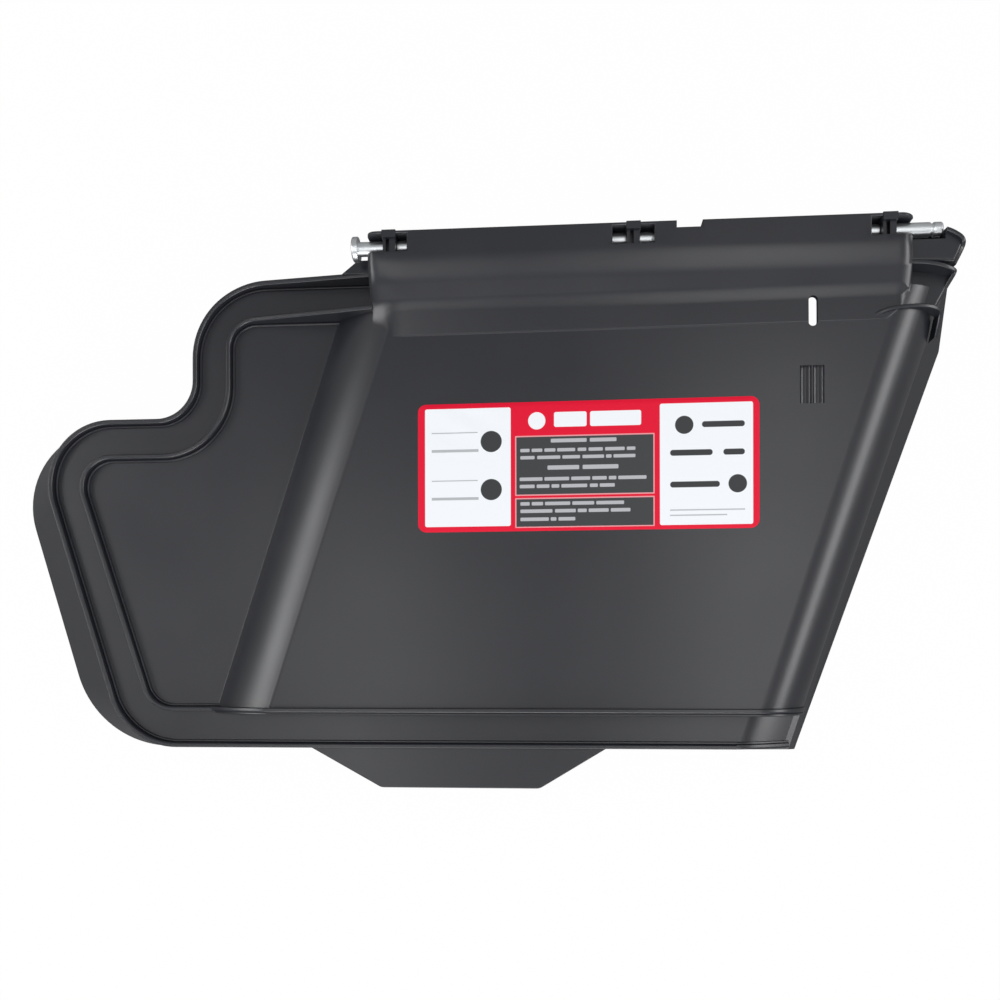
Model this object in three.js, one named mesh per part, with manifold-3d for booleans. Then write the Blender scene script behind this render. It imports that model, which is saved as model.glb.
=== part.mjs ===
import * as THREE from 'three';
import { mergeVertices } from 'three/addons/utils/BufferGeometryUtils.js';
import Module from 'manifold-3d';

// Mower discharge chute, lying open side down. Millimetres, X along the hinge, +Y towards the hinge, +Z up.

// Heights above the surface that the rim rests on
const FLANGE_Z = 36;
const LEDGE_Z = 22;
const MAIN_LEFT_Z = 56;
const MAIN_RIGHT_Z = 61;
const BARREL_Z = 72;
const SHOULDER_Z = 66;
const SHELF_Z = 55.5;

// Walls and ribs
const WALL = 3;
const BACK_WALL = 1.8;
const RIB_THICKNESS = 2.6;
const RIB_LEFT_HEIGHT = 5;
const RIB_RIGHT_HEIGHT = 2;
const OUTER_HINGE_RIB_HEIGHT = 14;
const INNER_HINGE_RIB_HEIGHT = 11;
const LIP_HEIGHT = 3;
const LIP_THICKNESS = 2;
const LIP_FLARE = 1.5;
const ROOT = 1;

// Plan of the outer rib: the wing on the left and the straight outlet edge
const OUTER_BACK_Y = 232.5;
const NECK_X = -230.6;
const NECK_RADIUS = 46;
const WING_BACK_Y = 149.7;
const WING_FILLET = 23;
const WING_CORNER_X = -338.3;
const WING_CORNER_RADIUS = 40;
const OUTLET_CORNER_X = -274.4;
const OUTLET_CORNER_RADIUS = 45;
const OUTLET_Y = -53.5;

// Plan of the inner rib
const INNER_BACK_Y = 210.5;
const INNER_NECK_X = -209.5;
const INNER_NECK_RADIUS = 18;
const INNER_WING_Y = 128;
const INNER_WING_FILLET = 41;
const INNER_WING_CORNER_X = -310.7;
const INNER_WING_CORNER_RADIUS = 19.7;
const INNER_OUTLET_CORNER_X = -258.5;
const INNER_OUTLET_CORNER_RADIUS = 20;
const HOOD_FRONT_Y = -31;

// Plan of the rim, where the skirts end
const RIM_BACK_Y = 234;
const RIM_NECK_X = -232;
const RIM_WING_BACK_Y = 155;
const RIM_WING_CORNER_X = -376;
const RIM_WING_CORNER_RADIUS = 52;
const RIM_OUTLET_CORNER_X = -311.9;
const RIM_OUTLET_CORNER_RADIUS = 66;
const RIM_OUTLET_Y = -56.5;

// The right-hand side: slanted ledge line, slanted rim line and the end of both under the shoulder
const LEDGE_AT_OUTLET_X = 133;
const LEDGE_SLOPE = 0.332;
const RIM_AT_OUTLET_X = 141.5;
const RIM_SLOPE = 0.357;
const SKIRT_TOP_Y = 192;
const RIGHT_ROUND_RUN = 33;

// Places between which the main panel's height is given
const MAIN_SPAN_LEFT_X = -160;
const MAIN_SPAN_RIGHT_X = 140;

// The ramp between the wing and the raised hood
const RAMP_FOOT_FRONT_X = -208.4;
const RAMP_FOOT_BACK_X = -130.7;
const RAMP_ANGLE = THREE.MathUtils.degToRad(45);
const RAMP_FOOT_RADIUS = 6;
const RAMP_CREST_RADIUS = 20;

// The hinge barrel
const BARREL_LEFT_X = -115;
const BARREL_RIGHT_X = 191.4;
const BARREL_BACK_Y = 246.4;
const BARREL_CREST_Y = 224;
const BARREL_SLOPE_Y = 209;
const BARREL_FOOT_Y = 190;
const BARREL_SLOPE_DROP = 6.5;
const BARREL_FOOT_STEP = 1.5;
const BARREL_FOOT_TURN_X = 176;
const BARREL_END_RADIUS = 9;
const BACK_WALL_DEPTH = 24;

// The hinge rod and its knuckles
const ROD_DIAMETER = 8;
const ROD_CLEARANCE = 0.35;
const ROD_COVER = 3;
const ROD_RIGHT_X = 209;
const ROD_GROOVE_DEPTH = 0.7;
const ROD_GROOVE_WIDTH = 3;
const ROD_GROOVE_FROM_END = 4.4;
const ROD_CHAMFER = 1.2;
const HEAD_DIAMETER = 14;
const HEAD_THICKNESS = 3.6;
const HEAD_DOME = 1;
const HEAD_CROWN_RADIUS = 4.2;
const HEAD_CROWN_RISE = 0.35;
const HEAD_GAP = 6.2;
const KNUCKLE_WIDTH = 8;
const KNUCKLE_X = [-102, 37.4, 178];
const WINDOW_FRONT_Y = 234.5;
const WINDOW_MIDDLE_HALF = 11.7;
const WINDOW_END_WIDTH = 23.5;
const HOOK_DEPTH = 4.4;
const HOOK_HEIGHT = 6;
const HOOK_RISE = 0.8;
const STEM_DROP = 1.5;
const BORE_RUN_OUT = 10;

// Holes and pockets in the hood
const SLOT_X = 138.8;
const SLOT_Y = 197.3;
const SLOT_WIDTH = 5;
const SLOT_LENGTH = 17;
const POCKET_X = 131.5;
const POCKET_Y = 145;
const POCKET_WIDTH = 6.5;
const POCKET_LENGTH = 21.5;
const POCKET_PITCH = 7.1;
const POCKET_DEPTH = 2;
const POCKET_EDGE = 0.4;
const EDGE_NOTCH_X = 68.7;
const EDGE_NOTCH_WIDTH = 14.4;
const EDGE_NOTCH_DEPTH = 4;

// Stepped shoulder beside the barrel
const SHOULDER_BACK_Y = 240;
const SHELF_BACK_Y = 222;
const SHELF_FRONT_Y = 199.5;
const SHOULDER_FRONT_X = 215.5;
const SHOULDER_SLOPE = 0.4;
const SHOULDER_ROUND_RUN = 22;
const SHOULDER_TUCK = 5;
const ROD_SEAT_GAP = 1.5;

// Gusset web between the outer rib and the barrel's left end
const GUSSET_LENGTH = 20;
const GUSSET_REACH = 7;
const GUSSET_FLAT = 10;
const GUSSET_THICKNESS = 3;
const GUSSET_SETBACK = 0.5;

// Pull tab
const TAB_LEFT_X = -160;
const TAB_RIGHT_X = 25;
const TAB_DEPTH = 24.5;
const TAB_END_LEFT_X = -114;
const TAB_END_RIGHT_X = -17;
const TAB_THICKNESS = 2.5;

// Printed label
const LABEL_X = 10.8;
const LABEL_Y = 112.4;
const LABEL_WIDTH = 196.5;
const LABEL_HEIGHT = 75;
const LABEL_RADIUS = 5;
const LABEL_THICKNESS = 0.4;
const LABEL_GAP = 0.3;

const wasm = await Module();
wasm.setup();

// Turn a three.js geometry into a solid that can be joined and cut
function toSolid(geometry) {
  const bare = geometry.clone();
  bare.deleteAttribute('normal');
  bare.deleteAttribute('uv');
  const merged = mergeVertices(bare, 1e-5);
  return new wasm.Manifold(new wasm.Mesh({
    numProp: 3,
    vertProperties: new Float32Array(merged.attributes.position.array),
    triVerts: new Uint32Array(merged.index.array),
  }));
}

// Turn a solid back into a three.js geometry
function toGeometry(solid) {
  const mesh = solid.getMesh();
  const geometry = new THREE.BufferGeometry();
  geometry.setAttribute('position', new THREE.BufferAttribute(new Float32Array(mesh.vertProperties), 3));
  geometry.setIndex(new THREE.BufferAttribute(new Uint32Array(mesh.triVerts), 1));
  geometry.computeVertexNormals();
  return geometry;
}

const signedArea = (points) => THREE.ShapeUtils.area(points);

// Project a flat ring of points onto the plane that it fills best
function flatten(ring) {
  const normal = new THREE.Vector3();
  ring.forEach((point, i) => {
    const next = ring[(i + 1) % ring.length];
    normal.x += (point.y - next.y) * (point.z + next.z);
    normal.y += (point.z - next.z) * (point.x + next.x);
    normal.z += (point.x - next.x) * (point.y + next.y);
  });
  const size = [Math.abs(normal.x), Math.abs(normal.y), Math.abs(normal.z)];
  if (size[0] >= size[1] && size[0] >= size[2]) return ring.map((p) => new THREE.Vector2(p.y, p.z));
  if (size[1] >= size[2]) return ring.map((p) => new THREE.Vector2(p.z, p.x));
  return ring.map((p) => new THREE.Vector2(p.x, p.y));
}

// Triangles that close a ring, wound the way the ring runs
function capTriangles(ring) {
  const flat = flatten(ring);
  const turn = Math.sign(signedArea(flat));
  return THREE.ShapeUtils.triangulateShape(flat, []).map((triangle) => {
    const area = signedArea(triangle.map((i) => flat[i]));
    return Math.sign(area) === turn ? triangle : [triangle[0], triangle[2], triangle[1]];
  });
}

// Closed solid skinned over rings that all have the same number of points
function loft(rings) {
  const count = rings[0].length;
  const points = rings.flat();
  const faces = [];
  for (let ring = 0; ring + 1 < rings.length; ring += 1) {
    for (let i = 0; i < count; i += 1) {
      const a = ring * count + i;
      const b = ring * count + (i + 1) % count;
      faces.push([a, b, b + count], [a, b + count, a + count]);
    }
  }
  const last = (rings.length - 1) * count;
  capTriangles(rings[0]).forEach(([a, b, c]) => faces.push([a, c, b]));
  capTriangles(rings.at(-1)).forEach(([a, b, c]) => faces.push([last + a, last + b, last + c]));
  const volume = faces.reduce((sum, [a, b, c]) => {
    const normal = new THREE.Vector3().crossVectors(points[b], points[c]);
    return sum + points[a].dot(normal);
  }, 0);
  const outward = volume > 0 ? faces : faces.map(([a, b, c]) => [a, c, b]);
  const geometry = new THREE.BufferGeometry();
  const positions = new Float32Array(points.flatMap((p) => p.toArray()));
  geometry.setAttribute('position', new THREE.BufferAttribute(positions, 3));
  geometry.setIndex(outward.flat());
  return toSolid(geometry);
}

function box(x0, x1, y0, y1, z0, z1) {
  const geometry = new THREE.BoxGeometry(x1 - x0, y1 - y0, z1 - z0);
  geometry.translate((x0 + x1) / 2, (y0 + y1) / 2, (z0 + z1) / 2);
  return toSolid(geometry);
}

// Upright plate with a plan outline
function plate(points, z0, z1) {
  return loft([z0, z1].map((z) => points.map((p) => new THREE.Vector3(p.x, p.y, z))));
}

// Corner points with radii turned into a run of points with round corners
function roundedPath(corners, steps = 7) {
  const points = [];
  corners.forEach(([x, y, radius], i) => {
    const here = new THREE.Vector2(x, y);
    if (!radius) {
      points.push(here);
      return;
    }
    const toward = new THREE.Vector2(...corners[i - 1].slice(0, 2)).sub(here).normalize();
    const away = new THREE.Vector2(...corners[i + 1].slice(0, 2)).sub(here).normalize();
    const half = Math.acos(THREE.MathUtils.clamp(toward.dot(away), -1, 1)) / 2;
    const middle = toward.clone().add(away).normalize().multiplyScalar(radius / Math.sin(half)).add(here);
    const from = here.clone().addScaledVector(toward, radius / Math.tan(half)).sub(middle);
    const side = Math.sign(from.cross(here.clone().sub(middle)));
    const sweep = Math.PI - 2 * half;
    for (let step = 0; step <= steps; step += 1) {
      const turned = from.clone().rotateAround(new THREE.Vector2(), side * sweep * step / steps);
      points.push(turned.add(middle));
    }
  });
  return points;
}

// Wall that stands along a path, with its own top height at every point; thickness goes to the path's left
function wallAlong(path, thickness, bottom, topAt) {
  const rings = path.map((point, i) => {
    const before = path[Math.max(i - 1, 0)];
    const after = path[Math.min(i + 1, path.length - 1)];
    const along = after.clone().sub(before).normalize();
    const inner = point.clone().add(new THREE.Vector2(-along.y, along.x).multiplyScalar(thickness));
    const top = topAt(point);
    return [
      new THREE.Vector3(point.x, point.y, bottom),
      new THREE.Vector3(point.x, point.y, top),
      new THREE.Vector3(inner.x, inner.y, top),
      new THREE.Vector3(inner.x, inner.y, bottom),
    ];
  });
  return loft(rings);
}

// Height of the flat main panel, which rises slightly to the right
const MAIN_RISE = (MAIN_RIGHT_Z - MAIN_LEFT_Z) / (MAIN_SPAN_RIGHT_X - MAIN_SPAN_LEFT_X);
const mainHeight = (x) => MAIN_LEFT_Z + MAIN_RISE * (x - MAIN_SPAN_LEFT_X);

const ledgeX = (y) => LEDGE_AT_OUTLET_X + LEDGE_SLOPE * (y - OUTLET_Y);
const rimX = (y) => RIM_AT_OUTLET_X + RIM_SLOPE * (y - OUTLET_Y);

function rampFootX(y) {
  const share = (y - HOOD_FRONT_Y) / (INNER_BACK_Y - HOOD_FRONT_Y);
  return THREE.MathUtils.lerp(RAMP_FOOT_FRONT_X, RAMP_FOOT_BACK_X, share);
}

// Quarter of an ellipse that rounds a flat top down to an upright side
function roundedEdge(x0, z0, x1, z1, steps = 8) {
  const points = [];
  for (let step = 0; step <= steps; step += 1) {
    const angle = Math.PI / 2 * step / steps;
    points.push([x0 + (x1 - x0) * Math.sin(angle), z1 + (z0 - z1) * Math.cos(angle)]);
  }
  return points;
}

// Top line of the hood's cross-section, from the ramp's foot to the ledge on the right
function hoodProfile(y, inset) {
  const shift = inset * Math.tan(RAMP_ANGLE / 2);
  const foot = rampFootX(y) + shift;
  const flat = FLANGE_Z - inset;
  const steps = 5;
  const points = [];
  for (let step = 0; step <= steps; step += 1) {
    const angle = RAMP_ANGLE * step / steps;
    points.push([foot + RAMP_FOOT_RADIUS * Math.sin(angle), flat + RAMP_FOOT_RADIUS * (1 - Math.cos(angle))]);
  }
  const [slopeX, slopeZ] = points.at(-1);
  const crestRun = RAMP_CREST_RADIUS * Math.sin(RAMP_ANGLE);
  const crestRise = RAMP_CREST_RADIUS * (1 - Math.cos(RAMP_ANGLE));
  const guess = slopeX + crestRun + (MAIN_LEFT_Z - inset - crestRise - slopeZ) / Math.tan(RAMP_ANGLE);
  const top = mainHeight(guess) - inset;
  const crestX = slopeX + (top - crestRise - slopeZ) / Math.tan(RAMP_ANGLE) + crestRun;
  for (let step = 0; step <= steps; step += 1) {
    const angle = RAMP_ANGLE * (1 - step / steps);
    points.push([crestX - RAMP_CREST_RADIUS * Math.sin(angle), top - RAMP_CREST_RADIUS * (1 - Math.cos(angle))]);
  }
  const roundX = ledgeX(y) - RIGHT_ROUND_RUN;
  return points.concat(roundedEdge(roundX, mainHeight(roundX) - inset, ledgeX(y) - inset, LEDGE_Z));
}

// Top line of the channel's cross-section in front of the hood
function channelProfile(y, inset) {
  const roundX = ledgeX(y) - RIGHT_ROUND_RUN;
  return roundedEdge(roundX, FLANGE_Z - inset, ledgeX(y) - inset, LEDGE_Z, 6);
}

const shoulderX = (y) => SHOULDER_FRONT_X + SHOULDER_SLOPE * (y - SHELF_FRONT_Y);

const across = (y, profile) => profile.map(([x, z]) => new THREE.Vector3(x, y, z));

// Close a cross-section down to a floor height
function toFloor(y, profile, floor) {
  const first = profile[0];
  const last = profile.at(-1);
  return across(y, [[first[0], floor], ...profile, [last[0], floor]]);
}

function hood(inset, floor) {
  const front = HOOD_FRONT_Y + inset;
  const back = INNER_BACK_Y - inset;
  return loft([front, back].map((y) => toFloor(y, hoodProfile(y, inset), floor)));
}

function channel(inset, floor) {
  const front = OUTLET_Y + inset;
  const back = HOOD_FRONT_Y + WALL + ROOT;
  const left = RAMP_FOOT_FRONT_X;
  return loft([front, back].map((y) => {
    const profile = channelProfile(y, inset);
    return toFloor(y, [[left, profile[0][1]], ...profile], floor);
  }));
}

// Plan outline of the skirted base at the rim, at the ledge and at the flange, from the hinge round to the right
const outerCorners = [
  [BARREL_LEFT_X, OUTER_BACK_Y, 0],
  [NECK_X, OUTER_BACK_Y, NECK_RADIUS],
  [NECK_X, WING_BACK_Y, WING_FILLET],
  [WING_CORNER_X, WING_BACK_Y, WING_CORNER_RADIUS],
  [OUTLET_CORNER_X, OUTLET_Y, OUTLET_CORNER_RADIUS],
];
const rimCorners = [
  [BARREL_LEFT_X, RIM_BACK_Y, 0],
  [RIM_NECK_X, RIM_BACK_Y, NECK_RADIUS],
  [RIM_NECK_X, RIM_WING_BACK_Y, WING_FILLET],
  [RIM_WING_CORNER_X, RIM_WING_BACK_Y, RIM_WING_CORNER_RADIUS],
  [RIM_OUTLET_CORNER_X, RIM_OUTLET_Y, RIM_OUTLET_CORNER_RADIUS],
];

// Move a closed run of plan points inwards
function insetLoop(points, distance) {
  if (!distance) return points;
  return points.map((point, i) => {
    const before = points[(i + points.length - 1) % points.length];
    const after = points[(i + 1) % points.length];
    const into = point.clone().sub(before).normalize();
    const out = after.clone().sub(point).normalize();
    const bisector = new THREE.Vector2(-into.y, into.x).add(new THREE.Vector2(-out.y, out.x)).normalize();
    const reach = distance / Math.max(bisector.dot(new THREE.Vector2(-into.y, into.x)), 0.4);
    return point.clone().addScaledVector(bisector, reach);
  });
}

function baseLoop(corners, rightFront, rightMiddle, rightBack) {
  const start = corners[0];
  const end = [rightFront.x, corners.at(-1)[1], 0];
  const path = roundedPath([start, ...corners.slice(1), end]);
  return [...path, rightMiddle, rightBack];
}

function base(inset, bottom) {
  const backY = OUTER_BACK_Y;
  const rim = baseLoop(rimCorners,
    new THREE.Vector2(rimX(RIM_OUTLET_Y), RIM_OUTLET_Y),
    new THREE.Vector2(rimX(SKIRT_TOP_Y), SKIRT_TOP_Y),
    new THREE.Vector2(shoulderX(RIM_BACK_Y), RIM_BACK_Y));
  const flange = baseLoop(outerCorners,
    new THREE.Vector2(ledgeX(OUTLET_Y) - RIGHT_ROUND_RUN, OUTLET_Y),
    new THREE.Vector2(ledgeX(SKIRT_TOP_Y) - RIGHT_ROUND_RUN, SKIRT_TOP_Y),
    new THREE.Vector2(shoulderX(backY) - RIGHT_ROUND_RUN, backY));
  const share = LEDGE_Z / FLANGE_Z;
  const ledge = rim.map((point, i) => point.clone().lerp(flange[i], share));
  ledge[rim.length - 3].set(ledgeX(OUTLET_Y), ledge[rim.length - 3].y);
  ledge[rim.length - 2].set(ledgeX(SKIRT_TOP_Y), SKIRT_TOP_Y);
  ledge[rim.length - 1].set(shoulderX(RIM_BACK_Y), ledge[rim.length - 1].y);
  const levels = [[rim, bottom], [ledge, LEDGE_Z], [flange, FLANGE_Z - inset]];
  return loft(levels.map(([points, z]) => insetLoop(points, inset).map((p) => new THREE.Vector3(p.x, p.y, z))));
}

// Cross-section of the hinge barrel in Y and Z at a place along the hinge
function barrelRing(x, lift, inset, floor) {
  const turn = THREE.MathUtils.smoothstep(x, BARREL_FOOT_TURN_X, BARREL_RIGHT_X);
  const footY = THREE.MathUtils.lerp(BARREL_FOOT_Y, SHELF_FRONT_Y, turn);
  const main = mainHeight(x) - inset;
  const top = BARREL_Z - inset - lift;
  const slope = BARREL_Z - BARREL_SLOPE_DROP - inset - lift;
  const foot = Math.min(main + BARREL_FOOT_STEP, slope);
  const back = BARREL_BACK_Y - (inset ? BACK_WALL : 0);
  return [
    [back, floor],
    [back, top],
    [BARREL_CREST_Y, top],
    [BARREL_SLOPE_Y, slope],
    [footY + BARREL_FOOT_STEP, foot],
    [footY, foot - BARREL_FOOT_STEP],
    [footY, floor],
  ].map(([y, z]) => new THREE.Vector3(x, y, z));
}

function barrel(inset, floor) {
  const left = BARREL_LEFT_X + inset;
  const right = BARREL_RIGHT_X - inset;
  const radius = BARREL_END_RADIUS - inset;
  const rings = [left, BARREL_FOOT_TURN_X].map((x) => barrelRing(x, 0, inset, floor));
  for (let step = 0; step <= 5; step += 1) {
    const angle = Math.PI / 2 * step / 5;
    const lift = radius * (1 - Math.cos(angle));
    rings.push(barrelRing(right - radius + radius * Math.sin(angle), lift, inset, floor));
  }
  return loft(rings);
}

// One step of the shoulder beside the barrel, round on its right
function shoulderStep(inset, floor, back, front, height) {
  const left = BARREL_RIGHT_X - BARREL_END_RADIUS - SHOULDER_TUCK + inset;
  return loft([back - inset, front].map((y) => {
    const roundX = shoulderX(y) - SHOULDER_ROUND_RUN;
    const edge = roundedEdge(roundX, height - inset, shoulderX(y) - inset, LEDGE_Z, 6);
    return toFloor(y, [[left, height - inset], ...edge], floor);
  }));
}

// Outer skin and inner hollow share every form, one wall apart
function chuteForm(inset, floor) {
  const shelfFront = SHELF_FRONT_Y + inset;
  return base(inset, floor)
    .add(hood(inset, floor))
    .add(channel(inset, floor))
    .add(barrel(inset, floor))
    .add(shoulderStep(inset, floor, SHOULDER_BACK_Y, SHELF_BACK_Y + inset, SHOULDER_Z))
    .add(shoulderStep(inset, floor, SHELF_BACK_Y + inset + ROOT, shelfFront, SHELF_Z));
}

const rodAxis = new THREE.Vector3(0, BARREL_BACK_Y - BACK_WALL - ROD_CLEARANCE - ROD_DIAMETER / 2, 0);
rodAxis.z = BARREL_Z - WALL - ROD_COVER - ROD_DIAMETER / 2;

// Cylinder along the hinge
function hingeBar(x0, x1, diameter) {
  const geometry = new THREE.CylinderGeometry(diameter / 2, diameter / 2, x1 - x0, 24);
  geometry.rotateZ(-Math.PI / 2);
  geometry.translate((x0 + x1) / 2, rodAxis.y, rodAxis.z);
  return toSolid(geometry);
}

// Height of the ribs, which fades towards the right and grows towards the hinge
function ribHeight(point, hingeHeight) {
  const alongOutlet = THREE.MathUtils.smoothstep(point.x, RAMP_FOOT_FRONT_X, LEDGE_AT_OUTLET_X);
  const toHinge = THREE.MathUtils.smoothstep(point.x, INNER_NECK_X, BARREL_LEFT_X);
  if (point.y > WING_BACK_Y) return THREE.MathUtils.lerp(RIB_LEFT_HEIGHT, hingeHeight, toHinge);
  return THREE.MathUtils.lerp(RIB_LEFT_HEIGHT, RIB_RIGHT_HEIGHT, alongOutlet);
}

function ribs() {
  const outerPath = roundedPath([...outerCorners, [ledgeX(OUTLET_Y) - RIGHT_ROUND_RUN, OUTLET_Y, 0]]);
  const outer = wallAlong(outerPath, RIB_THICKNESS, FLANGE_Z - ROOT,
    (point) => FLANGE_Z + ribHeight(point, OUTER_HINGE_RIB_HEIGHT));
  const innerPath = roundedPath([
    [BARREL_LEFT_X, INNER_BACK_Y, 0],
    [INNER_NECK_X, INNER_BACK_Y, INNER_NECK_RADIUS],
    [INNER_NECK_X, INNER_WING_Y, INNER_WING_FILLET],
    [INNER_WING_CORNER_X, INNER_WING_Y, INNER_WING_CORNER_RADIUS],
    [INNER_OUTLET_CORNER_X, HOOD_FRONT_Y, INNER_OUTLET_CORNER_RADIUS],
    [RAMP_FOOT_FRONT_X + RAMP_FOOT_RADIUS, HOOD_FRONT_Y, 0],
  ]);
  const inner = wallAlong(innerPath, RIB_THICKNESS, FLANGE_Z - ROOT,
    (point) => FLANGE_Z + ribHeight(point, INNER_HINGE_RIB_HEIGHT));
  return outer.add(inner).add(bead(HOOD_FRONT_Y, hoodProfile)).add(bead(OUTLET_Y, channelProfile));
}

// Rib that follows a cross-section over the hood or the channel and down the right-hand side
function bead(y, profileAt) {
  const line = profileAt(y, 0);
  const raised = line.map(([x, z], i) => {
    const before = line[Math.max(i - 1, 0)];
    const after = line[Math.min(i + 1, line.length - 1)];
    const slope = new THREE.Vector2(after[0] - before[0], after[1] - before[1]).normalize();
    const height = ribHeight(new THREE.Vector2(x, y), RIB_LEFT_HEIGHT);
    return [x - slope.y * height, z + slope.x * height];
  });
  const ring = [...raised, ...line.toReversed().map(([x, z]) => [x, z - ROOT])];
  return loft([across(y, ring), across(y + RIB_THICKNESS, ring)]);
}

// Lips that stand on the shoulder's steps
function lip(y, left, height) {
  const roundX = shoulderX(y) - SHOULDER_ROUND_RUN;
  const line = [[left, height], ...roundedEdge(roundX, height, shoulderX(y), LEDGE_Z, 6)];
  const raised = [[left, height + LIP_HEIGHT],
    ...roundedEdge(roundX, height + LIP_HEIGHT, shoulderX(y) + LIP_FLARE, LEDGE_Z, 6)];
  const ring = [...raised, ...line.toReversed().map(([x, z]) => [x - ROOT, z - ROOT])];
  return loft([across(y, ring), across(y - LIP_THICKNESS, ring)]);
}

function lips() {
  const left = BARREL_RIGHT_X - BARREL_END_RADIUS;
  return lip(SHOULDER_BACK_Y, left, SHOULDER_Z)
    .add(lip(SHELF_BACK_Y + LIP_THICKNESS, left, SHOULDER_Z))
    .add(lip(SHELF_FRONT_Y + LIP_THICKNESS, left - BARREL_END_RADIUS, SHELF_Z));
}

// Windows over the rod: the end ones run out through the barrel's ends
function windows() {
  const spans = [
    [BARREL_LEFT_X - ROOT, BARREL_LEFT_X + WINDOW_END_WIDTH],
    [KNUCKLE_X[1] - WINDOW_MIDDLE_HALF, KNUCKLE_X[1] + WINDOW_MIDDLE_HALF],
    [BARREL_RIGHT_X - WINDOW_END_WIDTH, BARREL_RIGHT_X + ROOT],
  ];
  const floor = rodAxis.z - ROD_DIAMETER / 2 - ROD_CLEARANCE;
  const cuts = spans.map(([x0, x1]) => box(x0, x1, WINDOW_FRONT_Y, BARREL_BACK_Y - BACK_WALL, floor, BARREL_Z + ROOT));
  return cuts[0].add(cuts[1]).add(cuts[2]);
}

// Knuckle that the rod passes through, with the hook that ties it to the back wall
function knuckle(x) {
  const half = KNUCKLE_WIDTH / 2;
  const top = BARREL_Z - STEM_DROP;
  const bottom = rodAxis.z - ROD_DIAMETER / 2 - ROD_COVER;
  const stem = box(x - half, x + half, WINDOW_FRONT_Y - WALL, BARREL_BACK_Y - BACK_WALL / 2, bottom, top);
  const hookFront = BARREL_BACK_Y - HOOK_DEPTH;
  return stem.add(box(x - half, x + half, hookFront, BARREL_BACK_Y + HOOK_RISE, top - HOOK_HEIGHT, BARREL_Z + HOOK_RISE));
}

// Open seat in the shoulder that the rod's plain end lies in
function rodSeat() {
  const floor = rodAxis.z - ROD_DIAMETER / 2 - ROD_CLEARANCE;
  const front = rodAxis.y - ROD_DIAMETER / 2 - ROD_CLEARANCE;
  return box(BARREL_RIGHT_X - ROOT, ROD_RIGHT_X + ROD_SEAT_GAP, front, BARREL_BACK_Y + ROOT, floor, BARREL_Z + ROOT);
}

function slotCut() {
  const half = SLOT_WIDTH / 2;
  const reach = SLOT_LENGTH / 2 - half;
  const shape = [];
  for (let step = 0; step <= 6; step += 1) {
    const angle = Math.PI * step / 6;
    shape.push(new THREE.Vector2(SLOT_X + half * Math.cos(angle), SLOT_Y + reach + half * Math.sin(angle)));
  }
  for (let step = 0; step <= 6; step += 1) {
    const angle = Math.PI + Math.PI * step / 6;
    shape.push(new THREE.Vector2(SLOT_X + half * Math.cos(angle), SLOT_Y - reach + half * Math.sin(angle)));
  }
  return plate(shape, FLANGE_Z, BARREL_Z);
}

// Two round-bottomed pockets side by side
function pocketCuts() {
  const cuts = [0, 1].map((index) => {
    const left = POCKET_X + index * POCKET_PITCH;
    const top = mainHeight(left);
    const ring = [];
    for (let step = 0; step <= 6; step += 1) {
      const angle = Math.PI * step / 6;
      const x = left + POCKET_WIDTH / 2 * (1 - Math.cos(angle));
      ring.push([x, top + POCKET_EDGE - (POCKET_DEPTH + POCKET_EDGE) * Math.sin(angle)]);
    }
    ring.push([left + POCKET_WIDTH, top + WALL], [left, top + WALL]);
    return loft([across(POCKET_Y, ring), across(POCKET_Y + POCKET_LENGTH, ring)]);
  });
  return cuts[0].add(cuts[1]);
}

function pullTab() {
  const outline = [
    new THREE.Vector2(TAB_LEFT_X, OUTLET_Y + ROOT),
    new THREE.Vector2(TAB_END_LEFT_X, OUTLET_Y - TAB_DEPTH),
    new THREE.Vector2(TAB_END_RIGHT_X, OUTLET_Y - TAB_DEPTH),
    new THREE.Vector2(TAB_RIGHT_X, OUTLET_Y + ROOT),
  ];
  return plate(outline, FLANGE_Z - TAB_THICKNESS, FLANGE_Z);
}

function gusset() {
  const top = FLANGE_Z + OUTER_HINGE_RIB_HEIGHT;
  const outline = [
    new THREE.Vector2(BARREL_LEFT_X + ROOT, OUTER_BACK_Y - ROOT),
    new THREE.Vector2(BARREL_LEFT_X + ROOT, OUTER_BACK_Y + GUSSET_REACH),
    new THREE.Vector2(BARREL_LEFT_X - GUSSET_FLAT, OUTER_BACK_Y + GUSSET_REACH),
    new THREE.Vector2(BARREL_LEFT_X - GUSSET_LENGTH, OUTER_BACK_Y - ROOT),
  ];
  return plate(outline, top - GUSSET_THICKNESS, top - GUSSET_SETBACK);
}

// The side that faces the mower deck is open below the barrel's back wall
function deckOpening() {
  const top = BARREL_Z - BACK_WALL_DEPTH;
  const back = BARREL_BACK_Y + ROOT;
  const right = shoulderX(SHELF_BACK_Y) - WALL;
  return box(BARREL_LEFT_X + WALL, right, SHELF_BACK_Y, back, -ROOT, top)
    .add(box(BARREL_LEFT_X - ROOT, right, RIM_BACK_Y, back, -ROOT, top));
}

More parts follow.
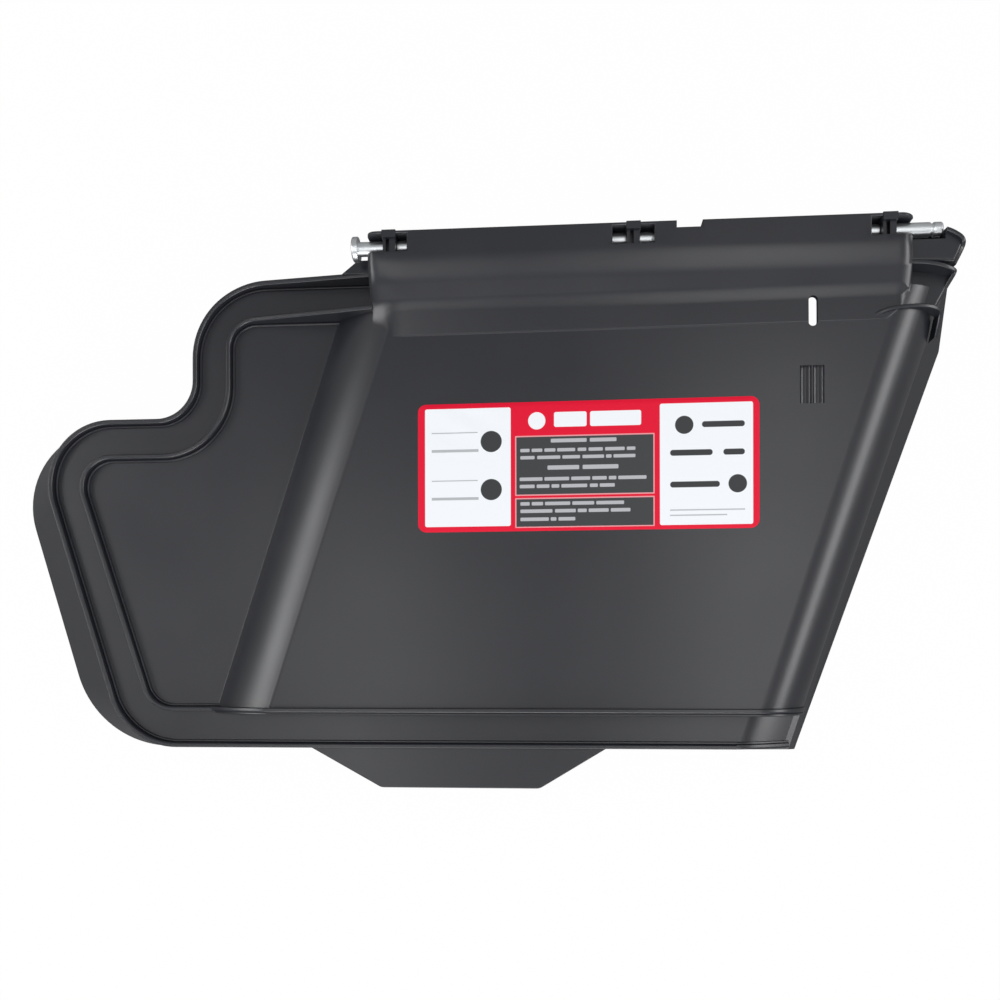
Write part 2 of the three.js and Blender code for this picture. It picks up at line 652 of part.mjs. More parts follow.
function chuteBody() {
  let body = chuteForm(0, 0).subtract(chuteForm(WALL, -ROOT)).subtract(deckOpening());
  body = body.add(ribs()).add(lips()).add(pullTab()).add(gusset());
  body = body.subtract(windows()).subtract(rodSeat());
  KNUCKLE_X.forEach((x) => { body = body.add(knuckle(x)); });
  body = body.subtract(hingeBar(BARREL_LEFT_X - BORE_RUN_OUT, ROD_RIGHT_X, ROD_DIAMETER + 2 * ROD_CLEARANCE));
  const notchHalf = EDGE_NOTCH_WIDTH / 2;
  const notch = box(EDGE_NOTCH_X - notchHalf, EDGE_NOTCH_X + notchHalf,
    BARREL_BACK_Y - EDGE_NOTCH_DEPTH, BARREL_BACK_Y + ROOT, rodAxis.z + ROD_DIAMETER, BARREL_Z + ROOT);
  return body.subtract(notch).subtract(slotCut()).subtract(pocketCuts());
}

// Steel rod turned as one lathe profile, head at the left
function hingeRod() {
  const radius = ROD_DIAMETER / 2;
  const neck = radius - ROD_GROOVE_DEPTH;
  const head = HEAD_DIAMETER / 2;
  const left = BARREL_LEFT_X - HEAD_GAP;
  const grooveEnd = ROD_RIGHT_X - ROD_GROOVE_FROM_END;
  const grooveStart = grooveEnd - ROD_GROOVE_WIDTH;
  const profile = [
    [0, left - HEAD_THICKNESS],
    [HEAD_CROWN_RADIUS, left - HEAD_THICKNESS + HEAD_CROWN_RISE],
    [head - HEAD_DOME, left - HEAD_THICKNESS + HEAD_DOME],
    [head, left - HEAD_THICKNESS + 2 * HEAD_DOME],
    [head, left - HEAD_DOME / 2],
    [head - HEAD_DOME / 2, left],
    [radius, left],
    [radius, grooveStart],
    [neck, grooveStart + ROD_GROOVE_DEPTH],
    [neck, grooveEnd - ROD_GROOVE_DEPTH],
    [radius, grooveEnd],
    [radius, ROD_RIGHT_X - ROD_CHAMFER],
    [radius - ROD_CHAMFER, ROD_RIGHT_X],
    [0, ROD_RIGHT_X],
  ].map(([r, along]) => new THREE.Vector2(r, along));
  const geometry = new THREE.LatheGeometry(profile, 32);
  geometry.rotateZ(-Math.PI / 2);
  geometry.translate(0, rodAxis.y, rodAxis.z);
  return geometry;
}

// Thin rounded plate that lies on the sloping main panel
function decal() {
  const w = LABEL_WIDTH / 2;
  const h = LABEL_HEIGHT / 2;
  const outline = [];
  [[1, 1], [-1, 1], [-1, -1], [1, -1]].forEach(([sx, sy], corner) => {
    for (let step = 0; step <= 5; step += 1) {
      const angle = Math.PI / 2 * (corner + step / 5);
      outline.push(new THREE.Vector2(
        sx * (w - LABEL_RADIUS) + LABEL_RADIUS * Math.cos(angle),
        sy * (h - LABEL_RADIUS) + LABEL_RADIUS * Math.sin(angle),
      ));
    }
  });
  return toGeometry(plate(outline, 0, LABEL_THICKNESS));
}

const blackPlastic = new THREE.MeshStandardMaterial({ color: 0x2c2d30, roughness: 0.45, metalness: 0 });
const zincSteel = new THREE.MeshStandardMaterial({ color: 0xb9bec2, roughness: 0.3, metalness: 1 });
const printedVinyl = new THREE.MeshStandardMaterial({ color: 0xee0033, roughness: 0.25, metalness: 0 });

function piece(name, geometry, material) {
  const mesh = new THREE.Mesh(geometry, material);
  mesh.name = name;
  return mesh;
}

const chute = new THREE.Group();
chute.add(piece('chute_body', toGeometry(chuteBody()), blackPlastic));
chute.add(piece('hinge_rod', hingeRod(), zincSteel));
const label = piece('decal', decal(), printedVinyl);
label.position.set(LABEL_X, LABEL_Y, mainHeight(LABEL_X) + LABEL_GAP);
label.rotation.y = -Math.atan(MAIN_RISE);
chute.add(label);

// The origin lies under the middle of the whole part, on the surface that it rests on
const bounds = new THREE.Box3().setFromObject(chute);
const centre = bounds.getCenter(new THREE.Vector3());
chute.position.set(-centre.x, -centre.y, -bounds.min.z);

export default chute;
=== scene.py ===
import math

import bmesh
import bpy
from mathutils import Matrix, Vector


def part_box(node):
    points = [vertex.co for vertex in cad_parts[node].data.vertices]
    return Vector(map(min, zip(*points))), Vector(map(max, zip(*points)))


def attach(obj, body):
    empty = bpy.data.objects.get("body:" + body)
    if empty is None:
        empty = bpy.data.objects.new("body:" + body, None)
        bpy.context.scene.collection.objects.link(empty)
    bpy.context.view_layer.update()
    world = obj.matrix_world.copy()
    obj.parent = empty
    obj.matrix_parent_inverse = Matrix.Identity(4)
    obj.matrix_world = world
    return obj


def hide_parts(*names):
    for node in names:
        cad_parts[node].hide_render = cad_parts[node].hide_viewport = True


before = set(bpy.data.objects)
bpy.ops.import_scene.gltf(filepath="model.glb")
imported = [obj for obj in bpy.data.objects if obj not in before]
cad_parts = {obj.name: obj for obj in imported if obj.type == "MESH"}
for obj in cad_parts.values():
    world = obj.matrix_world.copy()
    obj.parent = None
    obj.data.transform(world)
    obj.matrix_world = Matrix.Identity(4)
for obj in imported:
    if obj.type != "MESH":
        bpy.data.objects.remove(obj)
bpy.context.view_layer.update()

# Chute body: one injection moulding in black polypropylene, open below. Hood, channel, skirts, barrel and
# shoulder join into its outer form, the same form one wall smaller hollows it out, and then come its details.
# Lengths are millimetres from the point under the camera, and go into the row's frame at the end.
WALL = 3
ROOT = 1
FLANGE_Z = 36
LEDGE_Z = 22
OUTLET_Y = -53.5

# Hood: the raised main panel, which climbs a little to the right. A ramp with a long crest leads down to the
# wing on its left, and a long rounding leads down to the narrow ledge on its right.
HOOD_FRONT_Y = -31
HOOD_BACK_Y = 210.5
MAIN_LEFT_X = -160
MAIN_LEFT_Z = 56
MAIN_RISE = 5 / 300
MAIN_TILT = math.atan(MAIN_RISE)
RAMP_FOOT_FRONT_X = -217.5
RAMP_FOOT_BACK_X = -139.2
RAMP_ANGLE = math.radians(43)
RAMP_END_ANGLE = math.radians(12)
RAMP_FOOT_RADIUS = 0.8
RAMP_CREST_RADIUS = 79
RAMP_END_RADIUS = 10
LEDGE_FRONT_X = 133
LEDGE_SLANT = 0.332
ROUND_RUN = 33


def mix(a, b, share):
    return a + (b - a) * share


def main_height(x):
    return MAIN_LEFT_Z + MAIN_RISE * (x - MAIN_LEFT_X)


def ledge_x(y):
    return LEDGE_FRONT_X + LEDGE_SLANT * (y - OUTLET_Y)


def link_solid(name, vertices, faces):
    """A closed mesh object with its faces outwards."""
    mesh = bpy.data.meshes.new(name)
    mesh.from_pydata(vertices, [], faces)
    shell = bmesh.new()
    shell.from_mesh(mesh)
    if shell.calc_volume(signed=True) < 0:
        bmesh.ops.reverse_faces(shell, faces=shell.faces)
    shell.to_mesh(mesh)
    shell.free()
    made = bpy.data.objects.new(name, mesh)
    bpy.context.scene.collection.objects.link(made)
    return made


def skin(name, rings):
    """A solid skinned over rings that all have the same number of points."""
    count = len(rings[0])
    faces = [tuple(range(count))[::-1]]
    for ring in range(len(rings) - 1):
        for index in range(count):
            a = ring * count + index
            b = ring * count + (index + 1) % count
            faces.append((a, b, b + count, a + count))
    faces.append(tuple((len(rings) - 1) * count + index for index in range(count)))
    return link_solid(name, [point for ring in rings for point in ring], faces)


def edge_round(x0, z0, x1, z1, steps=24):
    """Quarter of an ellipse from a flat top down to an upright side."""
    turns = [math.pi / 2 * step / steps for step in range(steps + 1)]
    return [(x0 + (x1 - x0) * math.sin(turn), z1 + (z0 - z1) * math.cos(turn)) for turn in turns]


def hood_line(y, inset=0):
    """Top line of the hood's cross-section: ramp foot, long crest, main panel, right-hand rounding."""
    share = (y - HOOD_FRONT_Y) / (HOOD_BACK_Y - HOOD_FRONT_Y)
    x = mix(RAMP_FOOT_FRONT_X, RAMP_FOOT_BACK_X, share) + inset * math.tan(RAMP_ANGLE / 2)
    z = FLANGE_Z - inset
    points = [(x, z)]
    arcs = ((0, RAMP_ANGLE, RAMP_FOOT_RADIUS, 10), (RAMP_ANGLE, RAMP_END_ANGLE, RAMP_CREST_RADIUS, 24),
            (RAMP_END_ANGLE, MAIN_TILT, RAMP_END_RADIUS, 8))
    for first, last, radius, steps in arcs:
        for step in range(steps):
            turn = (last - first) / steps
            middle = first + turn * (step + 0.5)
            chord = 2 * radius * math.sin(abs(turn) / 2)
            x += chord * math.cos(middle)
            z += chord * math.sin(middle)
            points.append((x, z))
    lift = (main_height(x) - inset - z) / (len(points) - 1)
    points = [(x, z + lift * index) for index, (x, z) in enumerate(points)]
    right = ledge_x(y) - ROUND_RUN
    return points + edge_round(right, main_height(right) - inset, ledge_x(y) - inset, LEDGE_Z)


def hood_height(x, y, inset=0):
    """Height of the hood's surface over one place."""
    line = hood_line(y, inset)
    for (x0, z0), (x1, z1) in zip(line, line[1:]):
        if x0 <= x <= x1:
            return mix(z0, z1, (x - x0) / max(x1 - x0, 0.001))
    return FLANGE_Z


def to_floor(y, line, floor):
    ends = [(line[0][0], floor)] + line + [(line[-1][0], floor)]
    return [Vector((x, y, z)) for x, z in ends]


def hood(inset, floor):
    ends = (HOOD_FRONT_Y + inset, HOOD_BACK_Y - inset)
    return skin("hood", [to_floor(y, hood_line(y, inset), floor) for y in ends])


# Channel: the low floor between the hood and the outlet edge. At its right it bends down to the ledge, and
# grows steeper on its way.
CHANNEL_SLOPE = 0.632
CHANNEL_EASE = 11.5


def channel_line(y, inset=0, steps=24):
    """Top line of the bend at the channel's right-hand end."""
    line = []
    for step in range(steps + 1):
        run = ROUND_RUN * step / steps
        drop = CHANNEL_SLOPE * (run - CHANNEL_EASE * (1 - math.exp(-run / CHANNEL_EASE)))
        line.append((ledge_x(y) - ROUND_RUN + run * (1 - inset / ROUND_RUN), FLANGE_Z - inset - drop))
    return line


def channel(inset, floor):
    ends = (OUTLET_Y + inset, HOOD_FRONT_Y + WALL + ROOT)
    lines = [channel_line(y, inset) for y in ends]
    return skin("channel", [to_floor(y, [(RAMP_FOOT_FRONT_X, line[0][1])] + line, floor)
                            for y, line in zip(ends, lines)])


# Skirts and flange: upright walls that spread down to the flat rim, with the wing's flange on top and a
# narrow ledge along the right. Each plan runs from the barrel's left end round the wing to the outlet's edge.
LEDGE_WIDTH = 0.8
BARREL_LEFT_X = -115
NECK_LEFT_X = -230.6
WING_BACK_Y = 149.7
OUTER_BACK_Y = 232.5
RIM_BACK_Y = 234
RIM_NECK_X = -232
RIM_WING_Y = 155
SKIRT_TOP_Y = 192
SHELF_FRONT_Y = 199.5
RIM_FRONT_X = 143.8
RIM_SLANT = 0.357
SHOULDER_FRONT_X = 215.5
SHOULDER_SLANT = 0.4
OUTER_PLAN = [
    (BARREL_LEFT_X, OUTER_BACK_Y, 0),
    (NECK_LEFT_X, OUTER_BACK_Y, 46),
    (NECK_LEFT_X, WING_BACK_Y, 23),
    (-338.3, WING_BACK_Y, 40),
    (-274.4, OUTLET_Y, 45),
]
RIM_PLAN = [
    (BARREL_LEFT_X, RIM_BACK_Y, 0),
    (RIM_NECK_X, RIM_BACK_Y, 46),
    (RIM_NECK_X, RIM_WING_Y, 23),
    (-375.9, RIM_WING_Y, 52),
    (-311.9, -56.5, 66),
]


def rim_x(y):
    return RIM_FRONT_X + RIM_SLANT * (y - OUTLET_Y)


def shoulder_x(y):
    return SHOULDER_FRONT_X + SHOULDER_SLANT * (y - SHELF_FRONT_Y)


def rounded(corners, steps=20):
    """A run of corners (x, y, radius), with the corners turned into arcs."""
    points = []
    for index, (x, y, radius) in enumerate(corners):
        here = Vector((x, y))
        if not radius:
            points.append(here)
            continue
        toward = (Vector(corners[index - 1][:2]) - here).normalized()
        away = (Vector(corners[index + 1][:2]) - here).normalized()
        half = toward.angle(away) / 2
        middle = here + (toward + away).normalized() * (radius / math.sin(half))
        start = here + toward * (radius / math.tan(half)) - middle
        to_corner = here - middle
        side = math.copysign(1, start.x * to_corner.y - start.y * to_corner.x)
        for step in range(steps + 1):
            turn = side * (math.pi - 2 * half) * step / steps
            points.append(middle + Matrix.Rotation(turn, 2) @ start)
    return points


def move_in(points, distance):
    """A closed run of plan points moved inwards."""
    if not distance:
        return points
    moved = []
    for index, point in enumerate(points):
        into = (point - points[index - 1]).normalized()
        out = (points[(index + 1) % len(points)] - point).normalized()
        normal = Vector((-into.y, into.x))
        bisector = (normal + Vector((-out.y, out.x))).normalized()
        moved.append(point + bisector * (distance / max(bisector.dot(normal), 0.4)))
    return moved


def plan_loop(corners, front_x, middle, back):
    end = (front_x, corners[-1][1], 0)
    return rounded(corners + [end]) + [Vector(middle), Vector(back)]


def base(inset, bottom):
    """Skirts and flange, from the rim over the narrow ledge on the right to the flange."""
    rim = plan_loop(RIM_PLAN, rim_x(RIM_PLAN[-1][1]), (rim_x(SKIRT_TOP_Y), SKIRT_TOP_Y),
                    (shoulder_x(RIM_BACK_Y), RIM_BACK_Y))
    flange = plan_loop(OUTER_PLAN, ledge_x(OUTLET_Y) - ROUND_RUN,
                       (ledge_x(SKIRT_TOP_Y) - ROUND_RUN, SKIRT_TOP_Y),
                       (shoulder_x(OUTER_BACK_Y) - ROUND_RUN, OUTER_BACK_Y))
    ledge = [low.lerp(high, LEDGE_Z / FLANGE_Z) for low, high in zip(rim, flange)]
    ledge[-3].x = ledge_x(OUTLET_Y) + LEDGE_WIDTH
    ledge[-2] = Vector((ledge_x(SKIRT_TOP_Y) + LEDGE_WIDTH, SKIRT_TOP_Y))
    ledge[-1].x = shoulder_x(RIM_BACK_Y)
    levels = [(rim, bottom), (ledge, LEDGE_Z), (flange, FLANGE_Z - inset)]
    return skin("base", [[Vector((p.x, p.y, z)) for p in move_in(loop, inset)] for loop, z in levels])


# Hinge barrel: a round crown over the rod, with a long slope in front of it, then a nearly flat zone and a
# small step at its foot. It sinks into the hood at its left end and is rounded off at its right end.
BACK_WALL = 1.8
BARREL_RIGHT_X = 192.6
BARREL_TURN_X = 176
BARREL_BACK_Y = 246.4
BARREL_Z = 72
BARREL_END_RADIUS = 9
CROWN_FRONT_Y = 224
CROWN_RADIUS = 26
SLOPE_FOOT_Y = 208
SLOPE_RADIUS = 14
SLOPE_DROP = 11.8
ZONE_FRONT_Y = 190
ZONE_STEP = 0.7
ZONE_DROP = 9.3
MERGE_RUN = 24
MERGE_Y = 202
LEFT_ROUND_RUN = 10
LEFT_ROUND_DEPTH = 4
LEFT_BEVEL = [(0, 4.6), (0.3, 3.2), (0.9, 2.1), (1.9, 1.1), (3.2, 0.4), (4.8, 0.1), (6.6, 0)]


def clamp(value):
    return min(max(value, 0), 1)


def smooth(value, low, high):
    share = clamp((value - low) / (high - low))
    return share * share * (3 - 2 * share)


def barrel_ring(x, lift, inset, floor):
    """Cross-section of the barrel at one place, with its crown lowered by the lift."""
    right_turn = smooth(x, BARREL_TURN_X, BARREL_RIGHT_X)
    left_share = clamp((BARREL_LEFT_X + inset + LEFT_ROUND_RUN - x) / LEFT_ROUND_RUN)
    left_turn = 1 - math.sqrt(1 - left_share ** 2)
    foot_y = mix(ZONE_FRONT_Y, SHELF_FRONT_Y, right_turn) + LEFT_ROUND_DEPTH * left_turn
    merged = 1 - smooth(x, BARREL_LEFT_X, BARREL_LEFT_X + MERGE_RUN)
    hood_z = mix(main_height(x) - inset, hood_height(x, MERGE_Y, inset), smooth(merged, 0, 0.3))
    top = BARREL_Z - inset - lift
    slope = max(BARREL_Z - inset - SLOPE_DROP, hood_z + 0.4)
    slope = min(mix(slope, hood_z + 1, merged), top - 0.5)
    foot = min(hood_z + mix(ZONE_STEP, -0.2, merged), top - ZONE_DROP if merged < 0.01 else slope)
    back = BARREL_BACK_Y - (BACK_WALL if inset else 0)
    corners = [(back, floor, 0), (back, top, 1), (CROWN_FRONT_Y, top, CROWN_RADIUS),
               (SLOPE_FOOT_Y, slope, SLOPE_RADIUS), (foot_y + 1.2, foot, 1), (foot_y, foot - 0.9, 0),
               (foot_y, floor, 0)]
    return [Vector((x, point.x, point.y)) for point in rounded(corners, 10)]


def barrel(inset, floor):
    """Rings from the bevelled left end, closer where the barrel merges, to the round right end."""
    left = BARREL_LEFT_X + inset
    right = BARREL_RIGHT_X - inset
    radius = BARREL_END_RADIUS - inset
    even_x = BARREL_LEFT_X + 35
    rings = [barrel_ring(left + run, lift, inset, floor) for run, lift in LEFT_BEVEL]
    places = [left + 8 + 3 * step for step in range(6)]
    places += [even_x + step * (BARREL_TURN_X - even_x) / 16 for step in range(16)]
    places += [BARREL_TURN_X + step * (right - radius - BARREL_TURN_X) / 5 for step in range(5)]
    rings += [barrel_ring(x, 0, inset, floor) for x in places]
    for turn in [math.pi / 2 * step / 10 for step in range(11)]:
        x = right - radius + radius * math.sin(turn)
        rings.append(barrel_ring(x, radius * (1 - math.cos(turn)), inset, floor))
    return skin("barrel", rings)


# Shoulder: two flat steps with round edges, moulded in one with the barrel. They lead from the barrel's right
# end down to the right-hand skirt.
SHOULDER_BACK_Z = 66
SHOULDER_FRONT_Z = 56
SHOULDER_ROUND = 2
SHOULDER_BACK = [
    (182, 221.6), (214.6, 220.8), (217.7, 227), (219.3, 231.1), (219.2, 232.7), (218.3, 234.5),
    (216.2, 236.4), (214, 237.8), (211.3, 238.9), (208.6, 239.6), (204, 240.4), (182, 240.6),
]
SHOULDER_FRONT = [
    (176, 198.6), (208, 199), (210, 202), (215.8, 212.6), (217.5, 217), (212, 219), (203, 221.6), (176, 223),
]


def shoulder_step(inset, floor, outline, height):
    """One flat step of the shoulder, with round edges."""
    points = [Vector(point) for point in outline]
    low = height - inset - SHOULDER_ROUND
    levels = [(floor, 0), (low, 0)]
    levels += [(low + SHOULDER_ROUND * math.sin(turn), SHOULDER_ROUND * (1 - math.cos(turn)))
               for turn in (0.3, 0.6, 0.9, 1.2, math.pi / 2)]
    return skin("step", [[Vector((p.x, p.y, z)) for p in move_in(points, inset + run)] for z, run in levels])


def combine(target, operation, *parts):
    for part in parts:
        step = target.modifiers.new(part.name, "BOOLEAN")
        step.operation = operation
        step.solver = "MANIFOLD"
        step.object = part
    return target


def bake(made, name):
    """The object's evaluated mesh as a plain object at the origin."""
    graph = bpy.context.evaluated_depsgraph_get()
    mesh = bpy.data.meshes.new_from_object(made.evaluated_get(graph), depsgraph=graph)
    mesh.name = name
    plain = bpy.data.objects.new(name, mesh)
    bpy.context.scene.collection.objects.link(plain)
    return plain


def discard(*things):
    for thing in things:
        bpy.data.objects.remove(thing, do_unlink=True)


def chute_form(inset, floor):
    """The outer skin, or one wall further in the hollow below it."""
    parts = [
        hood(inset, floor),
        channel(inset, floor),
        barrel(inset, floor),
        shoulder_step(inset, floor, SHOULDER_BACK, SHOULDER_BACK_Z),
        shoulder_step(inset, floor, SHOULDER_FRONT, SHOULDER_FRONT_Z),
    ]
    form = combine(base(inset, floor), "UNION", *parts)
    made = bake(form, "form")
    discard(form, *parts)
    return made


# Moulded finish: black polypropylene as it comes out of the tool, with a fine grain and a slight mottle in
# its shine and colour.
PLASTIC = (0.0135, 0.0145, 0.0195)
PLASTIC_DEEP = (0.0115, 0.0125, 0.0175)
PLASTIC_FADED = (0.0155, 0.0165, 0.0215)


class Flow:
    """One socket of a node tree, for use in Python expressions."""

    def __init__(self, socket):
        self.socket = socket

    def node(self, kind, settings=None, inputs=None, output=0):
        tree = self.socket.id_data
        made = tree.nodes.new(kind)
        for name, value in (settings or {}).items():
            setattr(made, name, value)
        for name, value in (inputs or {}).items():
            if isinstance(value, Flow):
                tree.links.new(value.socket, made.inputs[name])
            else:
                made.inputs[name].default_value = value
        return Flow(made.outputs[output])

    def math(self, operation, *values):
        return self.node("ShaderNodeMath", {"operation": operation}, dict(enumerate(values)))

    def __add__(self, other):
        return self.math("ADD", self, other)

    def __radd__(self, other):
        return self.math("ADD", other, self)

    def __sub__(self, other):
        return self.math("SUBTRACT", self, other)

    def __rsub__(self, other):
        return self.math("SUBTRACT", other, self)

    def __mul__(self, other):
        return self.math("MULTIPLY", self, other)

    def __rmul__(self, other):
        return self.math("MULTIPLY", other, self)

    def __truediv__(self, other):
        return self.math("DIVIDE", self, other)

    def __rtruediv__(self, other):
        return self.math("DIVIDE", other, self)

    def __abs__(self):
        return self.math("ABSOLUTE", self)


def new_finish(name, colour, roughness, metallic=0):
    """A material, its Principled shader and its Object coordinates."""
    finish = bpy.data.materials.new(name)
    finish.use_nodes = True
    tree = finish.node_tree
    shader = tree.nodes["Principled BSDF"]
    shader.inputs["Base Color"].default_value = (*colour, 1)
    shader.inputs["Roughness"].default_value = roughness
    shader.inputs["Metallic"].default_value = metallic
    return finish, shader, Flow(tree.nodes.new("ShaderNodeTexCoord").outputs["Object"])


def feed(shader, name, flow):
    flow.socket.id_data.links.new(flow.socket, shader.inputs[name])


plastic, plastic_shader, plastic_place = new_finish("Black polypropylene", PLASTIC, 0.4)
mottle = plastic_place.node("ShaderNodeTexNoise", {}, {"Vector": plastic_place, "Scale": 22, "Detail": 3})
grain = plastic_place.node("ShaderNodeTexNoise", {}, {"Vector": plastic_place, "Scale": 1500, "Detail": 1})
plastic_shader.inputs["Specular IOR Level"].default_value = 0.68
feed(plastic_shader, "Roughness", 0.29 + 0.08 * mottle)
feed(plastic_shader, "Base Color", mottle.node("ShaderNodeMix", {"data_type": "RGBA"}, {
    0: mottle, 6: (*PLASTIC_DEEP, 1), 7: (*PLASTIC_FADED, 1)}, 2))
feed(plastic_shader, "Normal", grain.node("ShaderNodeBump", {}, {
    "Height": grain, "Distance": 0.00003, "Strength": 0.5}))


# Ribs and lips: narrow strips moulded onto the flange, the hood's edges and the shoulder. A Geometry Nodes
# tree carries a closed section along each rail, and attributes of the rail's points give the way across, the
# way up and the height there.
INNER_NECK_X = -209.5
INNER_WING_Y = 128
INNER_PLAN = [
    (BARREL_LEFT_X, HOOD_BACK_Y, 0),
    (INNER_NECK_X, HOOD_BACK_Y, 18),
    (INNER_NECK_X, INNER_WING_Y, 41),
    (-310.7, INNER_WING_Y, 19.7),
    (-258.5, HOOD_FRONT_Y, 20),
    (RAMP_FOOT_FRONT_X + 4, HOOD_FRONT_Y, 0),
]
RIB_HEIGHT = 5
RIB_RIGHT_HEIGHT = 2
OUTER_RIB_WIDTH = 3
INNER_RIB_WIDTH = 2.8
OUTER_WALL_HEIGHT = 14
INNER_WALL_HEIGHT = 20
FOOT_BEAD = [(1.5, -ROOT), (1.5, 0.8), (1.2, 1.3), (0.9, 1.4), (0.3, 1.3), (0, 1)]
EDGE_BEVEL = [(0, 1), (0.12, 0.7), (0.3, 0.42), (0.62, 0.14), (1, 0)]
LIP_THICKNESS = 2.2
BACK_LIP = [
    (188.4, 241, 68.5), (203, 241.2, 68.5), (207.7, 239.6, 68.5), (210.3, 238.9, 68.5), (213.0, 237.8, 68.5),
    (215.7, 236.2, 68.5), (218.1, 234.4, 68.5), (219.5, 232.5, 68.2), (220.4, 230.8, 67), (220.6, 228.6, 64),
    (218.6, 222.3, 58),
]
MIDDLE_LIP = [
    (187.3, 222.3, 67), (191, 222.2, 67), (203.4, 221.2, 67), (210.8, 219.4, 66), (216.1, 218, 64),
    (217.8, 216.6, 62), (215.2, 211.2, 58), (211.6, 203.1, 50),
]
FRONT_LIP = [
    (171.5, 194.4, 62), (177, 196.7, 63.5), (185.7, 198.7, 63.5), (200.2, 199.9, 61.5), (208.5, 199.2, 58.5),
    (212.8, 198, 55), (213.5, 192.8, 50), (214.7, 187, 42),
]

strip_tree = bpy.data.node_groups.new("Moulded strip", "GeometryNodeTree")
for name, kind in (("Rail", "Geometry"), ("Section", "Object"), ("Material", "Material")):
    strip_tree.interface.new_socket(name, in_out="INPUT", socket_type="NodeSocket" + kind)
strip_tree.interface.new_socket("Strip", in_out="OUTPUT", socket_type="NodeSocketGeometry")
strip_in = strip_tree.nodes.new("NodeGroupInput")
strip_out = strip_tree.nodes.new("NodeGroupOutput")
rail, section_object, strip_material = [Flow(strip_in.outputs[index]) for index in range(3)]
section = section_object.node("GeometryNodeObjectInfo", {}, {"Object": section_object}, "Geometry")
strip = rail.node("GeometryNodeCurveToMesh", {}, {
    "Curve": rail.node("GeometryNodeMeshToCurve", {}, {"Mesh": rail}),
    "Profile Curve": section.node("GeometryNodeMeshToCurve", {}, {"Mesh": section}),
    "Fill Caps": True,
})
section_points = section.node("GeometryNodeAttributeDomainSize", {"component": "MESH"},
                              {"Geometry": section}, "Point Count")
number = rail.node("GeometryNodeInputIndex")
rings_before = (number + 0.5) / section_points
row = rings_before.math("FLOOR", rings_before)
column = number - row * section_points


def taken(source, kind, value, index):
    """A value of one point of the rail or the section."""
    return source.node("GeometryNodeSampleIndex", {"data_type": kind},
                       {"Geometry": source, "Value": value, "Index": index})


def kept(name, kind):
    return rail.node("GeometryNodeInputNamedAttribute", {"data_type": kind}, {"Name": name})


def scaled(vector, factor):
    return vector.node("ShaderNodeVectorMath", {"operation": "SCALE"}, {"Vector": vector, "Scale": factor})


def added(vector, other):
    return vector.node("ShaderNodeVectorMath", {"operation": "ADD"}, {0: vector, 1: other})


position = rail.node("GeometryNodeInputPosition")
shape = taken(section, "FLOAT_VECTOR", position, column)
shape_x, shape_y, shape_z = [shape.node("ShaderNodeSeparateXYZ", {}, {0: shape}, index) for index in range(3)]
strip_height = shape_y + shape_z * taken(rail, "FLOAT", kept("rise", "FLOAT"), row)
across = scaled(taken(rail, "FLOAT_VECTOR", kept("side", "FLOAT_VECTOR"), row), shape_x)
upward = scaled(taken(rail, "FLOAT_VECTOR", kept("up", "FLOAT_VECTOR"), row), strip_height)
moved = added(added(across, upward), taken(rail, "FLOAT_VECTOR", position, row))
strip = strip.node("GeometryNodeSetPosition", {}, {"Geometry": strip, "Position": moved})
strip = strip.node("GeometryNodeRealizeInstances", {}, {"Geometry": strip})
strip = strip.node("GeometryNodeSetMaterial", {}, {"Geometry": strip, "Material": strip_material})
strip_tree.links.new(strip.socket, strip_out.inputs[0])


def strip_section(width, left_edge, right_edge, left_bead=False, right_bead=False, root=ROOT):
    """Closed section: (across, height in millimetres, share of the rib's own height)."""
    def bevel(size):
        return EDGE_BEVEL if size else [(0, 0)]

    points = [(-x, z, 0) for x, z in FOOT_BEAD] if left_bead else [(0, -root, 0)]
    points += [(left_edge * run, -left_edge * drop, 1) for run, drop in bevel(left_edge)]
    points += [(width - right_edge * run, -right_edge * drop, 1) for run, drop in reversed(bevel(right_edge))]
    if right_bead:
        return points + [(width + x, z, 0) for x, z in reversed(FOOT_BEAD)]
    return points + [(width, -root, 0)]


def set_input(modifier, name, value):
    for item in modifier.node_group.interface.items_tree:
        if item.item_type == "SOCKET" and item.in_out == "INPUT" and item.name == name:
            modifier[item.identifier] = value


def make_strip(name, points, sides, ups, rises, shape):
    """One rib or lip, as a closed solid."""
    mesh = bpy.data.meshes.new(name)
    mesh.from_pydata(points, [(i, i + 1) for i in range(len(points) - 1)], [])
    for key, values in (("side", sides), ("up", ups)):
        mesh.attributes.new(key, "FLOAT_VECTOR", "POINT").data.foreach_set(
            "vector", [number for vector in values for number in vector])
    mesh.attributes.new("rise", "FLOAT", "POINT").data.foreach_set("value", rises)
    line = bpy.data.meshes.new(name + " section")
    line.from_pydata(shape, [(i, (i + 1) % len(shape)) for i in range(len(shape))], [])
    made = bpy.data.objects.new(name, mesh)
    outline = bpy.data.objects.new(name + " section", line)
    for thing in (made, outline):
        bpy.context.scene.collection.objects.link(thing)
    modifier = made.modifiers.new("strip", "NODES")
    modifier.node_group = strip_tree
    set_input(modifier, "Section", outline)
    set_input(modifier, "Material", plastic)
    plain = bake(made, name)
    discard(made, outline)
    shell = bmesh.new()
    shell.from_mesh(plain.data)
    if shell.calc_volume(signed=True) < 0:
        bmesh.ops.reverse_faces(shell, faces=shell.faces)
    shell.to_mesh(plain.data)
    shell.free()
    return plain


